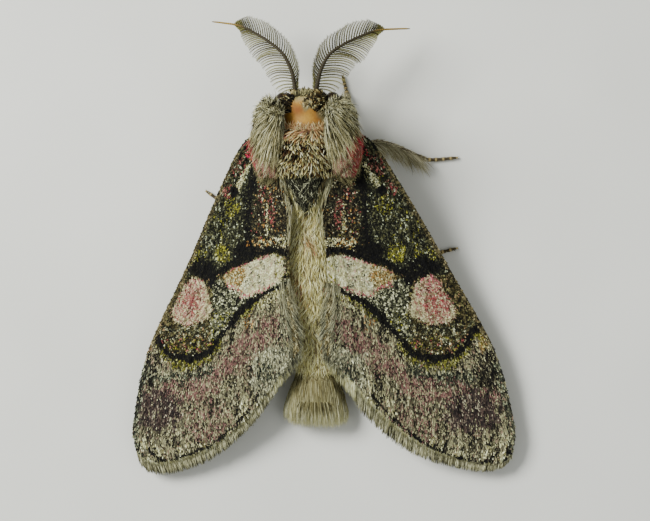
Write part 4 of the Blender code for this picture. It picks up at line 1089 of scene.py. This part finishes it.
def thorax_coat():
    """Broad scales on the disc, a slate tuft behind it, pale locks along the wings and grey fur below."""
    draw = dice("thorax")
    coat = Coat("thorax_disc", "grey_brown_fur", draw)
    count = 4000
    y, _, roots = on_body(draw, count, (4.72, 6.7), (26, 154))
    x = roots[0][:, 0]
    front = y + 0.15 * draw.normal(0, 1, count) > 6.4
    flank = (np.abs(x + 0.1) > 1.2 + 0.1 * draw.normal(0, 1, count)) & (y > 4.9)
    patchy = waves(x, y, 14, 0.6)
    which = draw.uniform(0, 1, count)
    tip = choose(front, pick(ROSY_TAN, which), pick(DISC_TIP, which))
    tip = choose(flank | ((patchy > 0.5) & (y < 6.3)), pick(DARK_SIDE, which), tip)
    tip = choose((patchy < -0.6) & ~front, pick(DISC_ROOT, which) * 1.5, tip)
    # The front hairs' roots are a darker copy of their tips' colour: painted shade.
    root = choose(front, pick(ROSY_TAN, which) * 0.4, coat.dyed(DISC_ROOT, count))
    swirl = 0.8 * waves(x, y, 27, 1.3) + 0.35 * x
    coat.hairs(roots, way(draw, count, swirl, -1.0, 0.0, 0.2), (0.36, 0.62), (0.045, 0.075), (root, tip),
               (0.16, 0.5), 0.0, 0.1, (0.5, 0.85, 1.0, 0.3), 0.25, turning=0.72)

    roots = on_body(draw, 460, (6.4, 6.75), (30, 150))[2]
    # Darker roots and lighter tips: painted shade and painted light.
    coat.tuft(roots, ROSY_TAN, (0.6, 1.1), (0.4 * roots[0][:, 0], 0.7, 1.0, 0.3), (0.2, 0.42), 0.045,
              (0.1, 0.25), 0.0, 0.06)
    coat.finish_up()

    coat = Coat("thorax_fur", "grey_brown_fur", draw)
    count = 4600
    y, _, roots = on_body(draw, count, (2.5, 4.95), (20, 160))
    wedge = np.abs(roots[0][:, 0]) < 0.05 + 0.5 * (y - 2.4) + 0.08 * draw.normal(0, 1, count)
    y, roots = some((y, roots), wedge)
    count = len(y)
    tint = coat.dyed(SLATE_HAIR, count)
    length = np.clip((y - 2.25) * 0.5, 0.25, 0.55) * draw.uniform(0.6, 1.1, count)
    # Darker roots and lighter tips: painted shade and painted light.
    coat.hairs(roots, way(draw, count, -0.2 * roots[0][:, 0], -1.0, 0.1, 0.3), length, (0.03, 0.05),
               (tint * 0.7, tint * 1.2), (0.1, 0.26), 0.1, 0.06, SHORT)

    count = 110
    side = np.where(draw.uniform(0, 1, count) < 0.5, 1.0, -1.0)
    y = draw.uniform(3.3, 4.9, count)
    angle = 90 - side * draw.uniform(58, 80, count)
    # Darker roots: painted shade.
    coat.tuft(skin_roots(y, angle), CREAM_HAIR, (0.5, 0.9), (-0.1 * side, -1.0, -0.1, 0.07), (0.9, 1.7),
              0.035, (0.1, 0.3), 0.3, 0.12, LONG)

    count = 2900
    y, _, roots = on_body(draw, count, (2.9, 7.4), (150, 390))
    tint = coat.dyed(GREY_FUR, count)
    lift = draw.uniform(0.05, 0.2, count) + 0.4 * ramp(y - 6.1, 0.6)
    # Darker roots and lighter tips: painted shade and painted light.
    coat.hairs(roots, way(draw, count, 0.5 * roots[0][:, 0], -1.0, -0.1), (0.4, 0.75), (0.04, 0.07),
               (tint * 0.55, tint * 1.1), lift, 0.05, 0.07, SHORT)
    coat.finish_up()


def shoulder(side, name):
    """A shoulder: pad between thorax and wing, and the tuft over it, its hairs swept back with rosy ends."""
    middle, half = [np.array(value) for value in WING_ROOT]
    middle = middle * (side, 1, 1)
    pad = bare_skin("wing_root_" + name, egg(middle, half), "grey_brown_fur", GREY_SKIN)
    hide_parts("tegula_" + name)

    rows = smooth_line(TEGULA, 40)[:, 0]
    ring = np.linspace(0, 360, 32, endpoint=False) * -side
    points, faces = closed_tube(np.stack([tegula_at(side, np.full(32, y), ring)[0] for y in rows]))
    shape = (points, [face[:, ::-1] for face in faces])
    skin = bare_skin("shoulder_skin_" + name, shape, "grey_brown_fur", UNDER_FUR * 0.7)
    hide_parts("tegula_" + name)

    draw = dice("shoulder", side)
    coat = Coat("shoulder_fur_" + name, "grey_brown_fur", draw)
    count = 5700
    y = 4.45 + 3.75 * draw.uniform(0, 1, count) ** 0.85
    angle = draw.uniform(-60, 240, count)
    roots = tegula_roots(side, y, angle)
    outward = np.cos(np.radians(angle))
    x = np.abs(roots[0][:, 0])
    hem = np.interp(x + 0.15 * outward, *TEGULA_HEM)
    length = np.clip((y - hem) * draw.uniform(0.6, 1.06, count), 0.3, np.interp(y, (6.0, 8.2), (1.9, 0.75)))
    which = draw.uniform(0, 1, count)
    front = y + 0.6 * draw.normal(0, 1, count) > 7.3
    tint = choose(front, pick(SHOULDER_FRONT, which), pick(SHOULDER_HAIR, which))
    at_hem = y - length < hem + 0.2 + 0.12 * draw.normal(0, 1, count)
    chance = draw.uniform(0, 1, count)
    end = x + 0.3 * length
    crimson = at_hem & (end > 2.5) & (end < 3.1) & (chance < 0.85)
    rosy = at_hem & ~crimson & (end > 1.6) & (end < 2.6) & (chance < 0.45)
    # Plain tips are a lighter copy of the hair's colour: painted light.
    tip = choose(crimson, pick(CRIMSON_HAIR, which), tint * 1.3)
    tip = choose(rosy, pick(ROSE_HAIR, which), tip)
    fan = ramp(y - 7.0, 1.2)
    lie = way(draw, count, side * (0.32 + 0.06 * outward + 0.5 * fan), -1.0 + 0.5 * fan, 0.0, 0.16)
    lie[:, 2] -= 0.08 + 0.2 * ramp(7.0 - y, 2)
    # Roots are a darker copy of the hair's colour: painted shade deep in the tuft.
    root = tint * choose(front, 0.25, 0.34)
    coat.hairs(roots, lie, length, (0.028, 0.05), (root, tip), (0.05, 0.28), 0.14, 0.1, turning=0.68)

    count = 800
    y, angle = draw.uniform(7.2, 8.2, count), draw.uniform(-60, 240, count)
    # Darker roots and lighter tips: painted shade and painted light.
    coat.tuft(tegula_roots(side, y, angle), SHOULDER_FRONT, (0.3, 1.1), (0.5 * side, 0.1, 0.1, 0.5),
              (0.22, 0.42), 0.036, (0.1, 0.26), 0.04, 0.08)

    count = 900
    up = draw.uniform(-1.2, 1.2, count)
    turn = draw.uniform(0, math.tau, count)
    ball = joined(np.cos(up) * np.cos(turn), np.sin(up), np.cos(up) * np.sin(turn))
    roots = (middle + ball * half, unit(ball / half), joined(up / 4 + 0.5, turn / 6.4))
    # Darker roots: painted shade.
    coat.tuft(roots, GREY_FUR, (0.5, 1), (0.5 * side, -0.8, -0.1, 0.3), (0.3, 0.6), 0.05, (0.05, 0.2), 0.05,
              0.06, SHORT)
    return coat.finish_up()


def abdomen_coat():
    """Soft tan fur that lies back along the abdomen, shorter and looser on its back, with rosy patches."""
    draw = dice("abdomen")
    coat = Coat("abdomen_fur", "tan_fur", draw)
    count = 11500
    y, angle, roots = on_body(draw, count, (-5.7, 3.7), (-90, 270))
    behind = np.abs(roots[0][:, 0]) > 0.45 * (y - 2.45)
    hidden = (np.sin(np.radians(angle)) < -0.3) & (draw.uniform(0, 1, count) < 0.7)
    y, angle, roots = some((y, angle, roots), behind & ~hidden)
    count = len(y)
    back = np.sin(np.radians(angle)) > 0.3
    x = roots[0][:, 0]
    patchy = 1 + 0.12 * waves(x * 2, y, 15, 1.1)
    which = draw.uniform(0, 1, count)
    rosy = waves(x, y, 31, 1.8) + 0.4 * draw.normal(0, 1, count) > 0.9
    tint = choose(rosy, pick(ROSY_TAN, which), pick(TAN_HAIR, which)) * patchy[:, None]
    lie = way(draw, count, 0.15 * x + 0.5 * waves(x, y, 17, 1.3), -1.0, 0.0, 0.2)
    length = np.where(back, 0.46, 0.55) * draw.uniform(0.6, 1.25, count)
    # Tips are a lighter copy of the hair's colour: painted light.
    coat.hairs(roots, lie, length, draw.uniform(0.024, 0.04, count), (tint, tint * 1.2),
               np.where(back, draw.uniform(0.05, 0.2, count), 0.1), 0.05, 0.07, SHORT)
    return coat.finish_up()


def tail_coat():
    """The tail brush: hairs from the last rings and the body's end, bowed out, with pale ragged tips."""
    draw = dice("tail")
    coat = Coat("tail_brush", "tan_fur", draw)
    count = 5400
    y, _, roots = on_body(draw, count, (-7.3, -5.8), (-90, 270))
    inner = draw.uniform(0, 1, count) < 0.24
    middle = np.array((0.0, 0.0, 0.95))
    shrink = np.where(inner, np.sqrt(draw.uniform(0, 0.9, count)), 1.0)[:, None]
    point = roots[0] - (roots[0] - middle) * (1, 0, 1) * (1 - shrink)
    point[:, 1] = np.where(inner, -7.35, y)
    x, y, z = point.T
    end_x = TAIL_HALF * np.sign(x) * np.abs(x / TAIL_ROOT_HALF) ** 0.9 - 0.14
    ragged = 0.1 * waves(end_x, z, 33, 0.5) + 0.09 * draw.normal(0, 1, count)
    end_y = TAIL_END + ragged + 0.35 * np.abs(end_x / TAIL_HALF) ** 4
    end_z = 0.1 + 1.2 * ramp(z, TAIL_ROOT_HEIGHT)
    tip = joined(end_x, end_y, end_z)
    share = np.where(draw.uniform(0, 1, count) < 0.75, 1.0, draw.uniform(0.45, 0.9, count))[:, None]
    t = np.linspace(0, 1, len(HAIR))[None, :, None]
    bow = joined(np.sign(x) * 0.5 * np.abs(x) / TAIL_ROOT_HALF, np.zeros(count), 0.25 * ramp(z - 0.6))
    line = point[:, None] + ((tip - point) * share)[:, None] * t + bow[:, None] * t * (1 - t)
    line = line + draw.normal(0, 0.05, (count, 1, 3)) * t**2
    out = unit(joined(x, np.zeros(count), z - 0.9))
    blade = strands(line, out, draw.uniform(0.035, 0.06, count), HAIR)
    blade[..., 2] = np.maximum(blade[..., 2], 0.01)
    tint = coat.dyed(TAIL_HAIR, count) * (1 + 0.15 * waves(x * 2, y * 0.5, 16, 0.8))[:, None]
    # The roots are a darker copy of the hair's colour, which is painted shade; the pale tips are the hair's
    # own.
    coat.add(blade, tint * 0.5, coat.dyed(TAIL_TIP, count), roots[2], turning=0.72)
    return coat.finish_up()


def feeler(side, name):
    """A feeler: a ringed tapering shaft, two ranks of branches that curve away from it, and fine bristles.

    A branch leaves the shaft at the first angle of its rank and turns to the last one with the square of its
    length run, in the plane of the shaft and of a direction across it that is tilted up or down.
    """
    draw = dice("feeler", side)
    rows = 240
    path = smooth_line(FEELER, rows)
    path[:, 1] -= side * math.tan(FEELER_SWING) * (path[:, 0] - FEELER[1][0])
    path = path * (side, 1, 1)
    share = np.linspace(0, 1, rows)
    ringed = 1 + 0.1 * np.sin(share * SHAFT_RINGS * math.tau)
    radius = np.interp(share, (0, 0.1, 0.35, 0.7, 0.97, 1), (0.13, 0.11, 0.082, 0.06, 0.04, 0.02)) * ringed
    tone = np.interp(share, (0, 0.7, 0.85, 0.97, 1), (0, 0, 1, 1, 0))
    # Each ring's ridge is tinted lighter and its groove darker: painted highlight and painted shade.
    tint = blend(SHAFT_BROWN, SHAFT_TIP, tone) * np.where(ringed > 1.02, 1.5, 0.8)[:, None]
    shaft = bare_skin("feeler_shaft_" + name, limb(path, radius, SHAFT_SIDES), "brown_cuticle",
                      limb_tint(tint, SHAFT_SIDES))
    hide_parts("antenna_" + name)
    joint = egg(path[0] + (side * 0.08, 0.08, 0.03), (0.15, 0.14, 0.13), 16, 24)
    base = bare_skin("feeler_base_" + name, joint, "brown_cuticle", CROWN * 1.3)
    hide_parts("antenna_" + name)

    coat = Coat("feeler_branches_" + name, "brown_cuticle", draw)
    at = np.linspace(*BRANCHED, BRANCHES)
    k = (at * (rows - 1)).astype(int)
    run = unit(np.gradient(path, axis=0))[k]
    profile = np.array((1.0, 0.9, 0.85, 0.8, 0.75, 0.65, 0.5, 0.25))
    t = np.linspace(0, 1, len(profile))
    for rank in (1, -1):
        level = unit(np.cross(run, (0.0, 0.0, 1.0))) * rank * side
        tilt = math.radians(RANK_TILT[rank])
        across = level * math.cos(tilt) + np.array((0.0, 0.0, math.sin(tilt)))
        length = np.interp(at, *np.transpose(RANKS[rank])) * draw.uniform(0.96, 1.04, BRANCHES)
        shares, first, last = np.transpose(RANK_ANGLES[rank])
        first, last = [np.radians(np.interp(at, shares, turn))[:, None] for turn in (first, last)]
        angle = (first + (last - first) * t**2)[..., None]
        step = run[:, None] * np.cos(angle) + across[:, None] * np.sin(angle)
        step = np.concatenate([np.zeros((BRANCHES, 1, 3)), (step[:, 1:] + step[:, :-1]) / 2], axis=1)
        line = path[k][:, None] + np.cumsum(step, axis=1) * (length / (len(t) - 1))[:, None, None]
        up = unit(np.cross(run, across) * -rank * side)
        tint = coat.dyed(BRANCH_TINT, BRANCHES) * (0.9 if rank > 0 else 0.5)
        place = joined(at, np.full(BRANCHES, 0.25 + 0.5 * (rank < 0)))
        # Each branch's root is a darker copy of its colour: painted shade.
        coat.add(strands(line, up, BRANCH_WIDTH, profile, 0.6), tint * 0.6, tint, place)

        along = np.linspace(0.1, 0.98, 20)
        low = np.minimum((along * (len(t) - 1)).astype(int), len(t) - 2)
        part = (along * (len(t) - 1) - low)[None, :, None]
        root = line[:, low] * (1 - part) + line[:, low + 1] * part
        onward = unit(line[:, low + 1] - line[:, low])
        up = np.broadcast_to(up[:, None], root.shape)
        for turned in (1, -1):
            lie = np.cross(onward, up) * turned + 0.6 * onward
            roots = (root.reshape(-1, 3), up.reshape(-1, 3), np.repeat(place, len(along), axis=0))
            fine = np.repeat(tint * 1.5, len(along), axis=0)
            coat.hairs(roots, lie.reshape(-1, 3), *BRISTLE, (fine, fine), 0.0, 0.02, 0.0, SHORT)
    return coat.finish_up()


def eye_and_palp(side, name):
    """An eye that fills the solid's own box, and a furred palp that leaves the face below and turns up."""
    low, high = [np.array(corner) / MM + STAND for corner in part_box("eye_" + name)]
    dome = piece("eye_dome_" + name, *egg((low + high) / 2, (high - low) / 2), FINISH["eye"], "dark_cornea")
    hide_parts("eye_" + name)

    low, high = [np.array(corner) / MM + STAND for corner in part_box("palp_" + name)]
    x = (low[0] + high[0]) / 2
    path = smooth_line(((x * 0.7, low[1], 3.0), (x, low[1] + 0.15, 2.6), (x, low[1] + 0.5, low[2] + 0.22),
                        (x, high[1] - 0.25, low[2] + 0.25), (x, high[1] - 0.08, high[2] - 0.12)), 30)
    share = np.linspace(0, 1, 30)
    radius = np.interp(share, (0, 0.5, 0.9, 1), (0.12, 0.17, 0.12, 0.05))
    skin = bare_skin("palp_skin_" + name, limb(path, radius, LEG_SIDES), "tan_fur", UNDER_FUR)
    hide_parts("palp_" + name)
    draw = dice("palp", side)
    coat = Coat("palp_fur_" + name, "tan_fur", draw)
    count = 600
    run = unit(np.gradient(path, axis=0))
    k = draw.integers(0, 29, count)
    turn = draw.uniform(0, math.tau, count)[:, None]
    out = np.cos(turn) * (1.0, 0.0, 0.0) + np.sin(turn) * unit(np.cross(run[k], (1.0, 0.0, 0.0)))
    roots = (path[k] + out * 0.12, out, joined(k / 30, turn[:, 0] / 6.4))
    # Darker roots: painted shade.
    coat.tuft(roots, FACE_HAIR, (0.5, 1), run[k].T, (0.2, 0.36), 0.04, (0.04, 0.12), 0.0, 0.04, SHORT)
    return coat.finish_up()


def leg(kind, side, name):
    """A leg: thigh, shin and jointed foot as one skin along its route, with its fur and two claws."""
    rows = 150
    path = smooth_line(LEGS[kind][side], rows) * (side, 1, 1)
    share = np.linspace(0, 1, rows)
    turns = (share - FOOT_START) / (1 - FOOT_START) * FOOT_JOINTS
    joints = np.where(share > FOOT_START, np.cos(turns * math.tau), 0)
    radius = np.interp(share, (0, 0.12, 0.3, 0.4, 0.5, 0.72, 0.76, 0.97, 1),
                       (0.24, 0.26, 0.2, 0.14, 0.17, 0.12, 0.1, 0.08, 0.04)) * (1 + 0.14 * joints)
    path[:, 2] = np.maximum(path[:, 2], radius + LEG_GAP)
    tint = limb_tint(choose(joints > 0.55, LEG_RING, LEG_BROWN), LEG_SIDES)
    skin = bare_skin(kind + "_skin_" + name, limb(path, radius, LEG_SIDES), "grey_brown_fur", tint)
    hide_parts(kind + "_" + name)

    draw = dice(kind, side)
    coat = Coat(kind + "_fur_" + name, "grey_brown_fur", draw)
    run = unit(np.gradient(path, axis=0))
    beside = unit(np.cross(run, (0.0, 0.0, 1.0)))
    top = np.cross(beside, run)

    def fur(count, span, length, hang, mix, width, stand, profile, around=(0, 360)):
        """Hairs over a span of the leg's length, rooted between two angles about it."""
        k = (draw.uniform(*span, count) * (rows - 1)).astype(int)
        turn = np.radians(draw.uniform(*around, count))[:, None]
        out = np.cos(turn) * beside[k] + np.sin(turn) * top[k]
        lie = run[k] + np.asarray(hang) * (side, 1, 1) + draw.normal(0, 0.2, (count, 3))
        size = length * draw.uniform(0.6, 1.15, count)
        tint = coat.dyed(mix, count)
        roots = (path[k] + out * radius[k, None] * 0.97, out, joined(k / rows, turn[:, 0] / 6.4))
        # Darker roots and lighter tips: painted shade and painted light.
        coat.hairs(roots, lie, size, width, (tint * 0.65, tint * 1.1), stand * size, 0.1 * size, 0.05,
                   profile, low=FLOOR_GAP)

    reach, hang = SHIN_FUR[kind]
    still = (0.0, 0.0, 0.0)
    fur(520 if kind == "midleg" else 300, (0.2, 0.7), reach, hang, LEG_FUR, 0.035, 0.1, HAIR, (40, 140))
    fur(640, (0.02, 0.75), 0.32, still, LEG_FUR, 0.05, 0.2, SHORT)
    fur(200, (0.72, 0.98), 0.14, still, SHOULDER_FRONT, 0.045, 0.1, SHORT)
    spreading = np.array((1.0, -1.0))[:, None] * beside[-3]
    dark = np.broadcast_to(CLAW_BROWN, (2, 3))
    claw_place = np.array(((0.99, 0.2), (0.99, 0.8)))
    claws = (np.repeat(path[-3:-2], 2, axis=0), np.repeat(top[-3:-2], 2, axis=0), claw_place)
    coat.hairs(claws, run[-3] + 0.4 * spreading, *CLAW, (dark, dark), 0.02, 0.1, 0.0, low=FLOOR_GAP)
    return coat.finish_up()


def place_object(name, data, x_axis, y_axis, z_axis, at):
    """Links a camera or lamp with the given axes at a place in metres."""
    obj = bpy.data.objects.new(name, data)
    columns = np.column_stack([x_axis, y_axis, z_axis, at])
    obj.matrix_world = Matrix([list(row) for row in columns] + [[0, 0, 0, 1]])
    bpy.context.scene.collection.objects.link(obj)
    return obj


def camera_and_light():
    """The camera leans to the moth's right as in the photo, under a large soft light and a weak fill."""
    lean = CAMERA_LEAN
    back = np.array((math.sin(lean), 0.0, math.cos(lean)))
    data = bpy.data.cameras.new("photo_view")
    data.lens = CAMERA_LENS
    data.sensor_width = 36.0
    data.clip_start = 0.01
    data.clip_end = 2.0
    at = (np.array(CAMERA_TARGET) + back * CAMERA_DISTANCE - STAND) * MM
    level = (math.cos(lean), 0.0, -math.sin(lean))
    bpy.context.scene.camera = place_object("photo_view", data, level, (0.0, 1.0, 0.0), back, at)

    for name, at, size, watts in (("key_light", (-0.1, 0.06, 0.12), 0.08, 0.62),
                                  ("fill_light", (0.12, -0.05, 0.12), 0.12, 0.08)):
        lamp = bpy.data.lights.new(name, "AREA")
        lamp.size = size
        lamp.energy = watts
        z_axis = unit(np.array(at))
        x_axis = unit(np.cross((0.0, 0.0, 1.0), z_axis))
        place_object(name, lamp, x_axis, np.cross(z_axis, x_axis), z_axis, at)
    world = bpy.data.worlds.new("studio")
    world.use_nodes = True
    world.node_tree.nodes["Background"].inputs["Color"].default_value = (0.95, 0.975, 1.0, 1.0)
    world.node_tree.nodes["Background"].inputs["Strength"].default_value = 0.5
    bpy.context.scene.world = world


def floor():
    """A flat square of floor, a metre wide."""
    mesh = bpy.data.meshes.new("floor")
    corners = [(x * FLOOR_HALF, y * FLOOR_HALF, 0) for x, y in ((-1, -1), (1, -1), (1, 1), (-1, 1))]
    mesh.from_pydata(corners, [], [(0, 1, 2, 3)])
    mesh.materials.append(floor_finish())
    obj = bpy.data.objects.new("floor", mesh)
    bpy.context.scene.collection.objects.link(obj)


FINISH = {
    # Wing scales are dry ridged flakes of chitin: matt, with only a faint lustre
    "scales": painted_finish("wing_scale_chitin", 0.75, 0.12, 0.05, 0.12, 0.25),
    # Hair scales are thin solid strands of chitin: soft, a little silky
    "hair": painted_finish("moth_hair", 0.65, 0.12, 0.08, 0.1, 0.1),
    # Wing membrane under the scales: thin matt chitin with the sockets of the scales in fine rows
    "membrane": painted_finish("wing_membrane", 0.75, 0.12, 0.1, 0.15, 0.5),
    # Bare skin: hard smooth chitin with shallow pits, a soft shine
    "skin": painted_finish("smooth_chitin", 0.6, 0.18, 0.12, 0.12, 0.25),
    "eye": eye_finish(),
}


def build():
    """The whole scene: camera, lights, floor, the parts of both sides and the body."""
    camera_and_light()
    floor()
    for side, name in ((1, "right"), (-1, "left")):

        def marked(plan, u, v, side=side):
            """The markings above, plain scales below in their darker copy, which is painted shade."""
            return forewing_tint(plan, u, v, side, "membrane_tint"), plain_tint(plan, u, v)[1]

        membrane = wing_skin("forewing_membrane_" + name, FOREWING, side, 140, 80, "wing_scales", marked)
        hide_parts("forewing_" + name)
        hind = wing_skin("hindwing_membrane_" + name, HINDWING, side, 50, 36, "pale_wing_scales", plain_tint)
        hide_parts("hindwing_" + name)
        wing_scales(side, name)
        wing_fringe(side, name)
        shoulder(side, name)
        feeler(side, name)
        eye_and_palp(side, name)
        for kind in LEGS:
            leg(kind, side, name)
    body_skin()
    head_coat()
    thorax_coat()
    abdomen_coat()
    tail_coat()


build()
